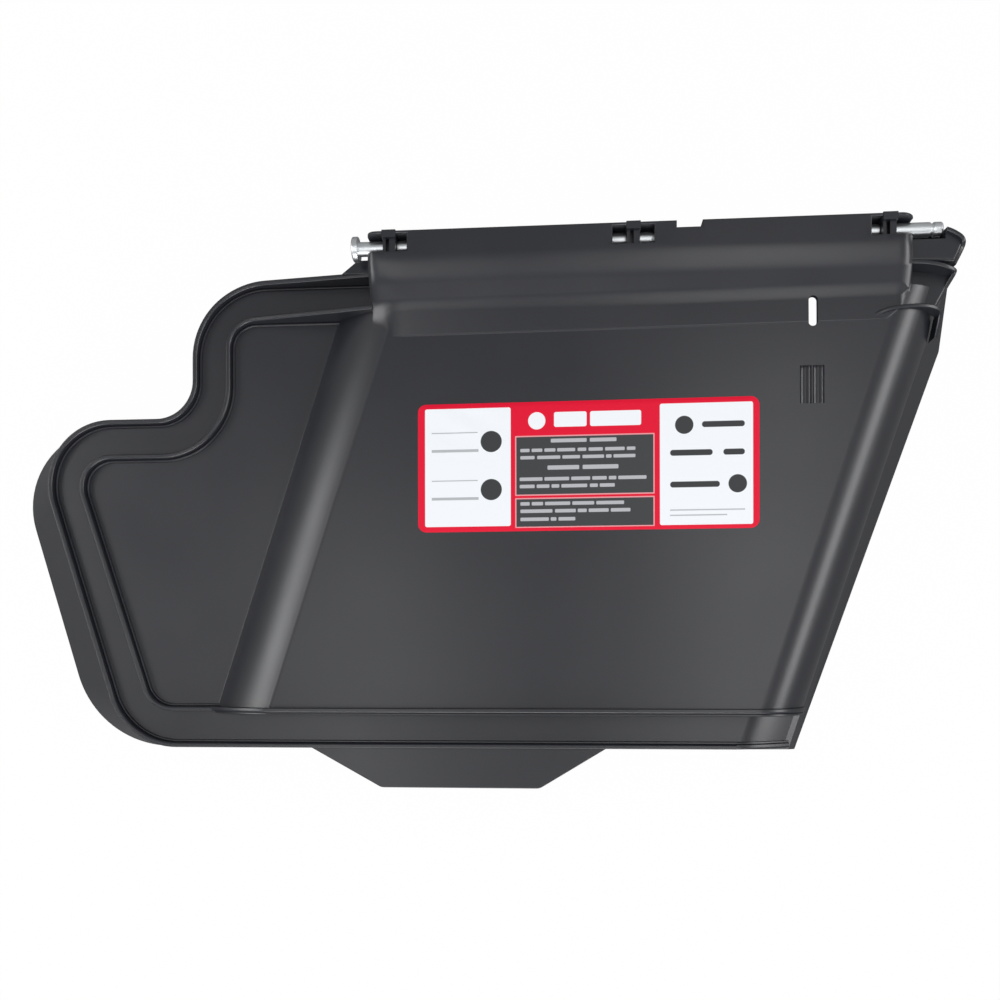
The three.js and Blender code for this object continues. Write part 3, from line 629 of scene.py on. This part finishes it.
def rib_height(x, y, wall_height=RIB_HEIGHT):
    """Ribs are even round the wing, lower towards the right, and grow to walls at the hinge."""
    if y > WING_BACK_Y:
        return mix(RIB_HEIGHT, wall_height, smooth(x, INNER_NECK_X, BARREL_LEFT_X))
    return mix(RIB_HEIGHT, RIB_RIGHT_HEIGHT, smooth(x, RAMP_FOOT_FRONT_X, LEDGE_FRONT_X))


def flange_rib(name, plan, wall_height, width):
    path = rounded(plan)
    sides = []
    for index in range(len(path)):
        heading = path[min(index + 1, len(path) - 1)] - path[max(index - 1, 0)]
        heading.normalize()
        sides.append((-heading.y, heading.x, 0))
    points = [(point.x, point.y, FLANGE_Z) for point in path]
    rises = [rib_height(point.x, point.y, wall_height) for point in path]
    section = strip_section(width, 0.7, 1.2, right_bead=True)
    return make_strip(name, points, sides, [(0, 0, 1)] * len(points), rises, section)


def normals_of(line):
    ups = []
    for index in range(len(line)):
        before = line[max(index - 1, 0)]
        after = line[min(index + 1, len(line) - 1)]
        slope = Vector((after[0] - before[0], after[1] - before[1])).normalized()
        ups.append((-slope.y, 0, slope.x))
    return ups


def cross_rib(name, y, line, section):
    points = [(x, y, z) for x, z in line]
    rises = [rib_height(x, y) for x, z in line]
    return make_strip(name, points, [(0, 1, 0)] * len(points), normals_of(line), rises, section)


def lip(name, path, root):
    """Thin lip on one edge of the shoulder, which runs to the right, turns the corner and falls."""
    points = [Vector(point) for point in path]
    for _ in range(2):
        finer = [points[0]]
        for here, after in zip(points, points[1:]):
            finer += [here.lerp(after, 0.25), here.lerp(after, 0.75)]
        points = finer + [points[-1]]
    sides = []
    for index in range(len(points)):
        heading = points[min(index + 1, len(points) - 1)] - points[max(index - 1, 0)]
        heading.z = 0
        heading.normalize()
        sides.append((heading.y, -heading.x, 0))
    section = strip_section(LIP_THICKNESS, 0.6, 0.6, root=root)
    return make_strip(name, points, sides, [(0, 0, 1)] * len(points), [0] * len(points), section)


def ribs_and_lips():
    outer_plan = OUTER_PLAN + [(ledge_x(OUTLET_Y) - ROUND_RUN, OUTLET_Y, 0)]
    hood_section = strip_section(INNER_RIB_WIDTH, 1.2, 0.5, left_bead=True)
    outlet_section = strip_section(OUTER_RIB_WIDTH, 1.2, 0.5, right_bead=True)
    return [
        flange_rib("outer rib", outer_plan, OUTER_WALL_HEIGHT, OUTER_RIB_WIDTH),
        flange_rib("inner rib", INNER_PLAN, INNER_WALL_HEIGHT, INNER_RIB_WIDTH),
        cross_rib("hood rib", HOOD_FRONT_Y, hood_line(HOOD_FRONT_Y), hood_section),
        cross_rib("outlet rib", OUTLET_Y, channel_line(OUTLET_Y), outlet_section),
        lip("back lip", BACK_LIP, 10),
        lip("middle lip", MIDDLE_LIP, 11),
        lip("front lip", FRONT_LIP, 9),
    ]


# Knuckles and windows: three eyes in the barrel carry the hinge rod, each under a window in the crown. Two
# webs stand over the rod in each window, and a hook ties them to the barrel's back wall.
ROD_Y = 240.25
ROD_Z = 62
ROD_RIGHT_X = 209
BORE_RADIUS = 4.35
KNUCKLES = (-102, 37.4, 178)
KNUCKLE_HALF = 4
EYE_LOW_Z = 55
EYE_HIGH_Z = 66.5
WEB_LOW_Z = 60
WEB_HIGH_Z = 70.4
HOOK_LOW_Z = 66
HOOK_DEPTH = 4
WINDOW_FRONT_Y = 234.5
WINDOW_FLOOR_Z = 57.65
WINDOW_FLARE = 0.7
WINDOWS = [
    (BARREL_LEFT_X - 1, BARREL_LEFT_X + 23.5, 1),
    (25.7, 49.1, 1.6),
    (BARREL_RIGHT_X - 24.7, BARREL_RIGHT_X + 1, 3.6),
]
BARREL_INNER_Y = BARREL_BACK_Y - BACK_WALL


def block(x0, x1, y0, y1, z0, z1, flare=0, left=1):
    """A box, whose upper edge spreads out by a small round where it cuts the surface, more so on its left."""
    levels = [(z0, 0)]
    if flare:
        levels += [(z1 - flare * (1 - step / 4), flare * (1 - math.sqrt(1 - (step / 4) ** 2)))
                   for step in range(5)]
        levels.append((z1 + 2, flare + 2))
    else:
        levels.append((z1, 0))
    rings = []
    for z, spread in levels:
        spans = [(x1 + spread, y1 + spread), (x0 - spread * left, y1 + spread),
                 (x0 - spread * left, y0 - spread), (x1 + spread, y0 - spread)]
        rings.append([Vector((x, y, z)) for x, y in spans])
    return skin("block", rings)


def knuckle(x):
    """Eye round the rod, two webs over it and the hook that ties them to the back wall."""
    front = WINDOW_FRONT_Y - WALL
    left = x - KNUCKLE_HALF
    right = x + KNUCKLE_HALF
    eye = block(left, right, front, BARREL_INNER_Y + 0.9, EYE_LOW_Z, EYE_HIGH_Z)
    web = block(left + 0.4, left + 2.1, front, BARREL_INNER_Y, WEB_LOW_Z, WEB_HIGH_Z)
    wide_web = block(x + 0.2, right - 0.4, front, BARREL_INNER_Y, WEB_LOW_Z, WEB_HIGH_Z)
    hook = block(left, right, BARREL_BACK_Y - HOOK_DEPTH, BARREL_BACK_Y + 0.3, HOOK_LOW_Z, BARREL_Z + 0.2)
    return eye, web, wide_web, hook


def window_cuts():
    """The windows, and the free space behind the shoulder round the rod's right end."""
    cuts = [block(x0, x1, WINDOW_FRONT_Y, BARREL_INNER_Y, WINDOW_FLOOR_Z, BARREL_Z, WINDOW_FLARE, left)
            for x0, x1, left in WINDOWS]
    cuts.append(block(BARREL_RIGHT_X - 1, ROD_RIGHT_X + 0.6, WINDOW_FRONT_Y - 1.1, BARREL_BACK_Y + 1,
                      WINDOW_FLOOR_Z, BARREL_Z + 1))
    return cuts


def lathe(name, outline, steps):
    """A solid turned about the rod's axis from places (x, radius)."""
    turns = [2 * math.pi * step / steps for step in range(steps)]
    rings = []
    for x, radius in outline:
        rings.append([Vector((x, ROD_Y + radius * math.cos(turn), ROD_Z + radius * math.sin(turn)))
                      for turn in turns])
    return skin(name, rings)


# Slot, troughs and notch: a slot right through the panel for the hinge spring's leg, two short half-round
# troughs in front of it, and a notch in the barrel's back edge.
SLOT_LEFT_X = 136.3
SLOT_RIGHT_X = 141.3
SLOT_FRONT_Y = 188.8
SLOT_BACK_Y = 205.8
SLOT_RADIUS = 2.49
TROUGHS = (131.5, 138.6)
TROUGH_WIDTH = 6.5
TROUGH_DEPTH = 2.4
TROUGH_RAISE = 0.4
TROUGH_FRONT_Y = 145
TROUGH_BACK_Y = 166.5
NOTCH_LEFT_X = 61.5
NOTCH_RIGHT_X = 75.9
NOTCH_DEPTH = 4
NOTCH_FLOOR_Z = 60
NOTCH_FLARE = 0.6


def slot_cut():
    middle = (SLOT_LEFT_X + SLOT_RIGHT_X) / 2
    outline = rounded([
        (middle, SLOT_FRONT_Y, 0), (SLOT_RIGHT_X, SLOT_FRONT_Y, SLOT_RADIUS),
        (SLOT_RIGHT_X, SLOT_BACK_Y, SLOT_RADIUS), (SLOT_LEFT_X, SLOT_BACK_Y, SLOT_RADIUS),
        (SLOT_LEFT_X, SLOT_FRONT_Y, SLOT_RADIUS), (middle, SLOT_FRONT_Y, 0)], 8)[:-1]
    return skin("slot", [[Vector((p.x, p.y, z)) for p in outline] for z in (FLANGE_Z, BARREL_Z)])


def trough_cut(left):
    half = TROUGH_WIDTH / 2
    top = main_height(left)
    turns = [math.pi * step / 12 for step in range(13)]
    ring = [(left + half * (1 - math.cos(turn)), top + TROUGH_RAISE - TROUGH_DEPTH * math.sin(turn))
            for turn in turns]
    ring += [(left + TROUGH_WIDTH, top + WALL), (left, top + WALL)]
    return skin("trough", [[Vector((x, y, z)) for x, z in ring] for y in (TROUGH_FRONT_Y, TROUGH_BACK_Y)])


def notch_cut():
    return block(NOTCH_LEFT_X, NOTCH_RIGHT_X, BARREL_BACK_Y - NOTCH_DEPTH, BARREL_BACK_Y + 1, NOTCH_FLOOR_Z,
                 BARREL_Z, NOTCH_FLARE)


# Pull tab and gusset: two thin flat plates of the same moulding. The tab on the outlet's edge is for lifting
# the chute, and the gusset stiffens the corner between the barrel's left end and the neck.
TAB_FRONT_Y = -78
TAB_CORNER = 7
TAB_THICKNESS = 2.5
GUSSET_FRONT_Y = 231.5
GUSSET_BACK_Y = 239.5
GUSSET_Z = 47
GUSSET_THICKNESS = 2.5


def plate(points, z0, z1, radius):
    """A flat plate with round upper and lower edges."""
    turns = [math.pi / 2 * step / 6 for step in range(7)]
    levels = [(z0 + radius * (1 - math.sin(turn)), radius * (1 - math.cos(turn))) for turn in reversed(turns)]
    levels += [(z1 - radius * (1 - math.sin(turn)), radius * (1 - math.cos(turn))) for turn in turns]
    return skin("plate", [[Vector((p.x, p.y, z)) for p in move_in(points, inset)] for z, inset in levels])


def pull_tab():
    root_y = OUTLET_Y + ROOT
    outline = rounded([(-160, root_y, 0), (-114, TAB_FRONT_Y, TAB_CORNER), (-17, TAB_FRONT_Y, TAB_CORNER),
                       (25, root_y, 0)], 10)
    return plate(outline, FLANGE_Z - TAB_THICKNESS, FLANGE_Z, 0.8)


def gusset():
    right = BARREL_LEFT_X + 1
    corners = [(right, GUSSET_FRONT_Y), (right, GUSSET_BACK_Y), (right - 11, GUSSET_BACK_Y),
               (right - 21, GUSSET_FRONT_Y)]
    return plate([Vector(corner) for corner in corners], GUSSET_Z, GUSSET_Z + GUSSET_THICKNESS, 0.5)


# The moulding put together: the outer form less its hollow and the deck's mouth, which is open at the back
# under the barrel, with ribs, lips and plates added, and the windows, bore, slot, troughs and notch cut last.
MOUTH_TOP_Z = 48
MOUTH_FRONT_Y = 222
body = chute_form(0, 0)
hollow = chute_form(WALL, -ROOT)
mouth_right = shoulder_x(MOUTH_FRONT_Y) - WALL
removed = [
    hollow,
    block(BARREL_LEFT_X + WALL, mouth_right, MOUTH_FRONT_Y, BARREL_BACK_Y + 1, -1, MOUTH_TOP_Z),
    block(BARREL_LEFT_X - 1, mouth_right, RIM_BACK_Y, BARREL_BACK_Y + 1, -1, MOUTH_TOP_Z),
]
joined = ribs_and_lips() + [pull_tab(), gusset()]
opened = window_cuts()
knuckles = [part for x in KNUCKLES for part in knuckle(x)]
bore = lathe("bore", [(BARREL_LEFT_X - 10, BORE_RADIUS), (ROD_RIGHT_X, BORE_RADIUS)], 48)
cut = [bore, notch_cut(), slot_cut()] + [trough_cut(left) for left in TROUGHS]
combine(body, "DIFFERENCE", *removed)
combine(body, "UNION", *joined)
combine(body, "DIFFERENCE", *opened)
combine(body, "UNION", *knuckles)
combine(body, "DIFFERENCE", *cut)
chute = bake(body, "chute")
discard(body, *removed, *joined, *opened, *knuckles, *cut)

# Move into the row's frame: the rod's right end and axis are known in both
rod_low, rod_high = [Vector(corner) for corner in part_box("hinge_rod")]
ORIGIN = Vector((rod_high.x - 0.001 * ROD_RIGHT_X, (rod_low.y + rod_high.y) / 2 - 0.001 * ROD_Y, 0))


def to_row(made):
    made.data.transform(Matrix.Translation(ORIGIN) @ Matrix.Scale(0.001, 4))


def shade(made, limit=30):
    """Smooth faces, sharp where they turn by more than the limit, with normals weighted by face area."""
    shell = bmesh.new()
    shell.from_mesh(made.data)
    bmesh.ops.remove_doubles(shell, verts=shell.verts, dist=2e-6)
    bmesh.ops.dissolve_degenerate(shell, edges=shell.edges, dist=1e-7)
    for face in shell.faces:
        face.smooth = True
    for edge in shell.edges:
        edge.smooth = len(edge.link_faces) == 2 and edge.calc_face_angle() < math.radians(limit)
    shell.to_mesh(made.data)
    shell.free()
    weights = made.modifiers.new("weights", "WEIGHTED_NORMAL")
    weights.mode = "FACE_AREA"
    weights.keep_sharp = True
    finished = bake(made, made.name + "_finished")
    discard(made)
    return finished


to_row(chute)
chute = shade(chute)
chute.name = "chute"
chute.data.materials.clear()
chute.data.materials.append(plastic)
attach(chute, "chute")
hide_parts("chute_body")

# Hinge rod: 8 mm zinc-plated steel bar with a formed flat head, a clip groove and a chamfered plain end.
# It lies in the barrel's bore and turns there.
ROD_LEFT_X = BARREL_LEFT_X - 6.2
ROD_RADIUS = 4
HEAD_RADIUS = 7
GROOVE_RADIUS = 3.3
ZINC = (0.80, 0.83, 0.85)
quarter = [math.pi / 2 * step / 6 for step in range(7)]
rod_outline = [(ROD_LEFT_X - 3.6, 0.3), (ROD_LEFT_X - 3.55, 2), (ROD_LEFT_X - 3.3, 4.2)]
rod_outline += [(ROD_LEFT_X - 2.6 - math.sin(turn), HEAD_RADIUS - 1 + math.cos(turn))
                for turn in reversed(quarter)]
rod_outline += [(ROD_LEFT_X - 0.5 + 0.5 * math.sin(turn), HEAD_RADIUS - 0.5 + 0.5 * math.cos(turn))
                for turn in quarter]
rod_outline += [(ROD_LEFT_X, ROD_RADIUS), (201.6, ROD_RADIUS), (202, 3.9), (202.3, GROOVE_RADIUS)]
rod_outline += [(203.9, GROOVE_RADIUS), (204.2, 3.9), (204.6, ROD_RADIUS), (207.8, ROD_RADIUS), (208.2, 3.85)]
rod_outline += [(208.7, 3.4), (208.95, 2.9), (ROD_RIGHT_X, 2.6), (ROD_RIGHT_X, 0.3)]

zinc, zinc_shader, zinc_place = new_finish("Zinc plated steel", ZINC, 0.34, 1)
zinc_x = zinc_place.node("ShaderNodeSeparateXYZ", {}, {0: zinc_place}, 0)
turning = zinc_place.node("ShaderNodeTexNoise", {"noise_dimensions": "1D"},
                          {"W": zinc_x * 1000, "Scale": 2.2, "Detail": 2})
bloom = zinc_place.node("ShaderNodeTexNoise", {}, {"Vector": zinc_place, "Scale": 90, "Detail": 3})
feed(zinc_shader, "Roughness", 0.26 + 0.18 * bloom)
feed(zinc_shader, "Normal", turning.node("ShaderNodeBump", {}, {
    "Height": turning, "Distance": 0.00004, "Strength": 0.6}))

rod = lathe("rod", rod_outline, 72)
to_row(rod)
rod = shade(rod)
rod.name = "rod"
rod.data.materials.clear()
rod.data.materials.append(zinc)
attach(rod, "rod")
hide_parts("hinge_rod")

# Label: printed vinyl sticker, pressed onto the main panel, with round corners and a slight wrinkle. Its
# print is a red ground, two white and two dark fields, and plain bars and discs on them.
LABEL_X = 10.8
LABEL_Y = 112.4
LABEL_HALF_WIDTH = 98.25
LABEL_HALF_HEIGHT = 37.5
LABEL_CORNER = 5
LABEL_TOP = 0.45
RED = (0.78, 0.0, 0.03)
WHITE = (0.91, 0.94, 0.98)
INK = (0.042, 0.044, 0.046)
DARK = (0.048, 0.052, 0.055)
PINK = (0.85, 0.35, 0.38)
BAR_GREY = (0.48, 0.49, 0.52)
SOFT_EDGE = 0.25
WRINKLE_U = -72
WRINKLE_V = 28
WRINKLE_HEIGHT = 0.22
BUBBLE_U = 26
BUBBLE_V = -37
BUBBLE_HEIGHT = 0.28
EDGE_RUN = 0.6
BAR_SHARE = 0.42
BAR_ROWS = [
    (14.7, 2.6, [(-20.3, 0.4), (2.2, 17.5)]),
    (9.3, 2.3, [(-38, -32.6), (-31.4, -25.2), (-24, -17.6), (-16.6, -6.2), (-4.8, 0.2), (1.5, 9.7),
                (11, 22.2), (23.4, 28.3)]),
    (5.1, 2.3, [(-38, -29.7), (-28.2, -14.8), (-13.6, -3.4), (-2, 10.4), (11.5, 14.7), (15.8, 28.3)]),
    (-0.9, 2.9, [(-22.2, -3.9), (-1.9, 18.6)]),
    (-7.4, 2.4, [(-38.4, -25.1), (-24, -9.7), (-8.5, 2.4), (3.6, 11.9), (13.1, 17.4), (18.5, 34.6)]),
    (-11.6, 2.4, [(-38.4, -29.7), (-28.5, -21.1), (-19.9, -15.4), (-14.2, 0.7), (2.2, 6.8), (7.9, 16.5)]),
    (-21.7, 2.4, [(-38, -32.6), (-31.4, -24.8), (-23.7, -9.1), (-7.9, 4.7), (5.9, 21.8)]),
    (-26, 2.4, [(-38, -19.4), (-17.9, -5.9), (-4.8, 0.4), (1.5, 13), (14.2, 25.4)]),
    (-30.7, 2.4, [(-38, -21.5), (-20.4, -17.1), (-15.9, -6.2)]),
]


def label_mesh():
    """A grid pressed onto the rounded outline, with a few slight wrinkles at the upper left and a bubble."""
    columns, rows = 131, 51
    points = []
    for j in range(rows):
        for i in range(columns):
            u = (2 * i / (columns - 1) - 1) * LABEL_HALF_WIDTH
            v = (2 * j / (rows - 1) - 1) * LABEL_HALF_HEIGHT
            reach_u = abs(u) - (LABEL_HALF_WIDTH - LABEL_CORNER)
            reach_v = abs(v) - (LABEL_HALF_HEIGHT - LABEL_CORNER)
            if reach_u > 0 and reach_v > 0:
                longest = max(reach_u, reach_v)
                shrink = longest / math.hypot(reach_u, reach_v)
                u = math.copysign(LABEL_HALF_WIDTH - LABEL_CORNER + reach_u * shrink, u)
                v = math.copysign(LABEL_HALF_HEIGHT - LABEL_CORNER + reach_v * shrink, v)
            fade = math.exp(-((u - WRINKLE_U) / 26) ** 2 - ((v - WRINKLE_V) / 13) ** 2)
            lift = WRINKLE_HEIGHT * fade * math.sin(0.19 * u + 0.32 * v + 1.1)
            lift += BUBBLE_HEIGHT * math.exp(-((u - BUBBLE_U) / 3) ** 2 - ((v - BUBBLE_V) / 2) ** 2)
            edge = min(LABEL_HALF_WIDTH - abs(u), LABEL_HALF_HEIGHT - abs(v), EDGE_RUN) / EDGE_RUN
            z = main_height(LABEL_X + u) + mix(0.2, LABEL_TOP, edge) + lift * edge * 0.5
            points.append(Vector((LABEL_X + u, LABEL_Y + v, z)))
    faces = []
    for j in range(rows - 1):
        for i in range(columns - 1):
            a = j * columns + i
            faces.append((a, a + 1, a + columns + 1, a + columns))
    border = list(range(columns - 1))
    border += [j * columns + columns - 1 for j in range(rows - 1)]
    border += [(rows - 1) * columns + i for i in range(columns - 1, 0, -1)]
    border += [j * columns for j in range(rows - 1, 0, -1)]
    low = len(points)
    for index in border:
        point = points[index]
        points.append(Vector((point.x, point.y, main_height(point.x) + 0.02)))
    for index, here in enumerate(border):
        after = (index + 1) % len(border)
        faces.append((here, low + index, low + after, border[after]))
    faces.append(tuple(range(low + len(border) - 1, low - 1, -1)))
    return link_solid("label", points, faces)


vinyl, vinyl_shader, vinyl_place = new_finish("Printed vinyl", RED, 0.46)
vinyl_shader.inputs["Specular IOR Level"].default_value = 0.3
label_u = vinyl_place.node("ShaderNodeSeparateXYZ", {}, {0: vinyl_place}, 0)
label_v = vinyl_place.node("ShaderNodeSeparateXYZ", {}, {0: vinyl_place}, 1)
label_u = (label_u - (ORIGIN.x + 0.001 * LABEL_X)) * 1000
label_v = (label_v - (ORIGIN.y + 0.001 * LABEL_Y)) * 1000


def edge_of(distance):
    """Mask with a soft edge where a distance changes sign."""
    share = 0.5 - distance / SOFT_EDGE
    return share.node("ShaderNodeClamp", {}, {"Value": share})


def beyond(place, limit):
    """How far a place lies past a limit on either side of the middle, or nothing."""
    past = abs(place) - limit
    return past.math("MAXIMUM", past, 0)


def reach(u, v):
    squared = u * u + v * v
    return squared.math("SQRT", squared)


def field(x0, x1, y0, y1, radius=0.0):
    """Mask of a box with round corners on the label, in millimetres from its middle."""
    u = beyond(label_u - (x0 + x1) / 2, (x1 - x0) / 2 - radius)
    v = beyond(label_v - (y0 + y1) / 2, (y1 - y0) / 2 - radius)
    return edge_of(reach(u, v) - radius)


def disc(x, y, radius):
    return edge_of(reach(label_u - x, label_v - y) - radius)


def either(*masks):
    total = masks[0]
    for mask in masks[1:]:
        total = total.math("MAXIMUM", total, mask)
    return total


def paint(ground, colour, mask):
    return mask.node("ShaderNodeMix", {"data_type": "RGBA"}, {0: mask, 6: ground, 7: (*colour, 1)}, 2)


panels = either(field(-94, -43.6, -34.4, 34.6, 1.2), field(42.2, 94.6, -35.2, 34.4, 1.2))
outlines = either(field(-41, 39.2, -17, 17.8, 0.3), field(-41, 39.2, -35.6, -18.3, 0.3))
darks = either(field(-40.3, 38.5, -16.3, 17.1, 0.2), field(-40.3, 38.5, -35, -19, 0.2))
header = either(field(-18.4, 0.4, 22.6, 31.2, 1.2), field(2.4, 31.6, 22.6, 31.2, 1.2), disc(-28.4, 26.4, 5))
bars = either(*[field(x0, x1, y - tall * BAR_SHARE, y + tall * BAR_SHARE, 0.5)
                for y, tall, spans in BAR_ROWS for x0, x1 in spans])
left_marks = either(
    field(-90, -63, 20.2, 20.7), field(-90, -62.5, 9.2, 10.7), disc(-55, 15, 6.2),
    field(-90, -63, -7.8, -7.3), field(-90, -62.5, -18.8, -17.3), disc(-55, -13, 6.2))
right_marks = either(
    disc(56, 22, 5.2), field(66, 90, 20.4, 23.8, 1.6), field(48, 72, 4.4, 7.8, 1.6),
    field(78, 90, 4.4, 7.8, 1.6), disc(86, -12, 5.2), field(48, 76, -13.8, -10.4, 1.6),
    field(48, 90, -27, -26.4), field(48, 80, -30, -29.4))
colour = paint((*RED, 1), WHITE, panels)
colour = paint(colour, PINK, outlines)
colour = paint(colour, DARK, darks)
colour = paint(colour, WHITE, header)
colour = paint(colour, BAR_GREY, bars)
colour = paint(colour, INK, either(left_marks, right_marks))
feed(vinyl_shader, "Base Color", colour)

label = label_mesh()
to_row(label)
label = shade(label, 50)
label.name = "label"
label.data.materials.clear()
label.data.materials.append(vinyl)
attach(label, "chute")
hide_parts("decal")

# Studio: a plain pale floor under the rim, a white background for the camera, and rectangular lamps at the
# sides, in front and overhead. The floor keeps the chute's shadow.
FLOOR_HALF = 3
FLOOR_COLOUR = (0.22, 0.22, 0.22)
FLOOR_GLOW = 1.045
GLOW_SHARE = 0.94
GLOSSY_LEVEL = 0.35
AMBIENT_LEVEL = 0.3
floor_mesh = bpy.data.meshes.new("floor")
floor_corners = [(-FLOOR_HALF, -FLOOR_HALF, 0), (FLOOR_HALF, -FLOOR_HALF, 0),
                 (FLOOR_HALF, FLOOR_HALF, 0), (-FLOOR_HALF, FLOOR_HALF, 0)]
floor_mesh.from_pydata(floor_corners, [], [(0, 1, 2, 3)])
floor = bpy.data.objects.new("floor", floor_mesh)
bpy.context.scene.collection.objects.link(floor)
pale, pale_shader, pale_place = new_finish("Pale floor", FLOOR_COLOUR, 0.9)
pale_tree = pale.node_tree
seen = pale_place.node("ShaderNodeLightPath", {}, {}, "Is Camera Ray")
glow = seen.node("ShaderNodeEmission", {}, {"Color": (1, 1, 1, 1), "Strength": FLOOR_GLOW})
shown = seen.node("ShaderNodeMixShader", {}, {0: seen * GLOW_SHARE, 1: Flow(pale_shader.outputs[0]), 2: glow})
pale_tree.links.new(shown.socket, pale_tree.nodes["Material Output"].inputs["Surface"])
floor.data.materials.append(pale)

world = bpy.data.worlds.new("Studio")
bpy.context.scene.world = world
world.use_nodes = True
ray_kinds = world.node_tree.nodes.new("ShaderNodeLightPath")
camera_ray, glossy_ray, clear_ray = [Flow(ray_kinds.outputs["Is %s Ray" % kind])
                                     for kind in ("Camera", "Glossy", "Transmission")]
white = camera_ray.math("MAXIMUM", camera_ray, clear_ray)
white = white.math("MAXIMUM", white, GLOSSY_LEVEL * glossy_ray)
strength = white.math("MAXIMUM", white, AMBIENT_LEVEL)
ambient = world.node_tree.nodes["Background"]
ambient.inputs["Color"].default_value = (1, 1, 1, 1)
world.node_tree.links.new(strength.socket, ambient.inputs["Strength"])


def softbox(name, place, target, size, power):
    """Rectangular lamp of a size in metres and a power in watts, which points at a target."""
    data = bpy.data.lights.new(name, "AREA")
    data.shape = "RECTANGLE"
    data.size, data.size_y = size
    data.energy = power
    lamp = bpy.data.objects.new(name, data)
    lamp.location = place
    lamp.rotation_euler = (Vector(target) - Vector(place)).to_track_quat("-Z", "Y").to_euler()
    lamp.visible_camera = False
    bpy.context.scene.collection.objects.link(lamp)


softbox("left softbox", (-1.25, 0.0, 0.86), (0, 0, 0.05), (1.3, 0.42), 9.5)
softbox("right softbox", (1.35, 0.0, 0.7), (0, 0, 0.05), (1.3, 0.45), 9)
softbox("front softbox", (0.0, -1.5, 0.48), (0, 0, 0.05), (1.6, 0.45), 14)
softbox("upper left softbox", (-0.46, -0.36, 1.6), (-0.46, -0.35, 0), (0.3, 1.3), 2.8)
softbox("upper right softbox", (0.46, -0.16, 1.6), (0.46, -0.15, 0), (0.32, 1.5), 4)

# Camera: 593 mm over the rim's plane, near the middle of the chute, looking down and 4.2 degrees to the left,
# with a small roll. A shift of the frame puts the chute at the photograph's height.
CAMERA_HEIGHT = 0.593
CAMERA_LEAN = math.radians(4.2)
CAMERA_ROLL = -0.0017
lens = bpy.data.cameras.new("camera")
lens.lens = 33.12
lens.sensor_width = 36
lens.shift_y = 0.16
lens.clip_start = 0.01
camera = bpy.data.objects.new("camera", lens)
view = Vector((-math.sin(CAMERA_LEAN), 0, -math.cos(CAMERA_LEAN)))
right = Vector((math.cos(CAMERA_LEAN), 0, -math.sin(CAMERA_LEAN)))
up = Vector((0, 1, 0))
turned_right = right * math.cos(CAMERA_ROLL) + up * math.sin(CAMERA_ROLL)
turned_up = up * math.cos(CAMERA_ROLL) - right * math.sin(CAMERA_ROLL)
axes = Matrix((turned_right, turned_up, -view)).transposed().to_4x4()
camera.matrix_world = Matrix.Translation(ORIGIN + Vector((0, 0, CAMERA_HEIGHT))) @ axes
bpy.context.scene.collection.objects.link(camera)
bpy.context.scene.camera = camera

bpy.context.scene.view_settings.view_transform = "Standard"
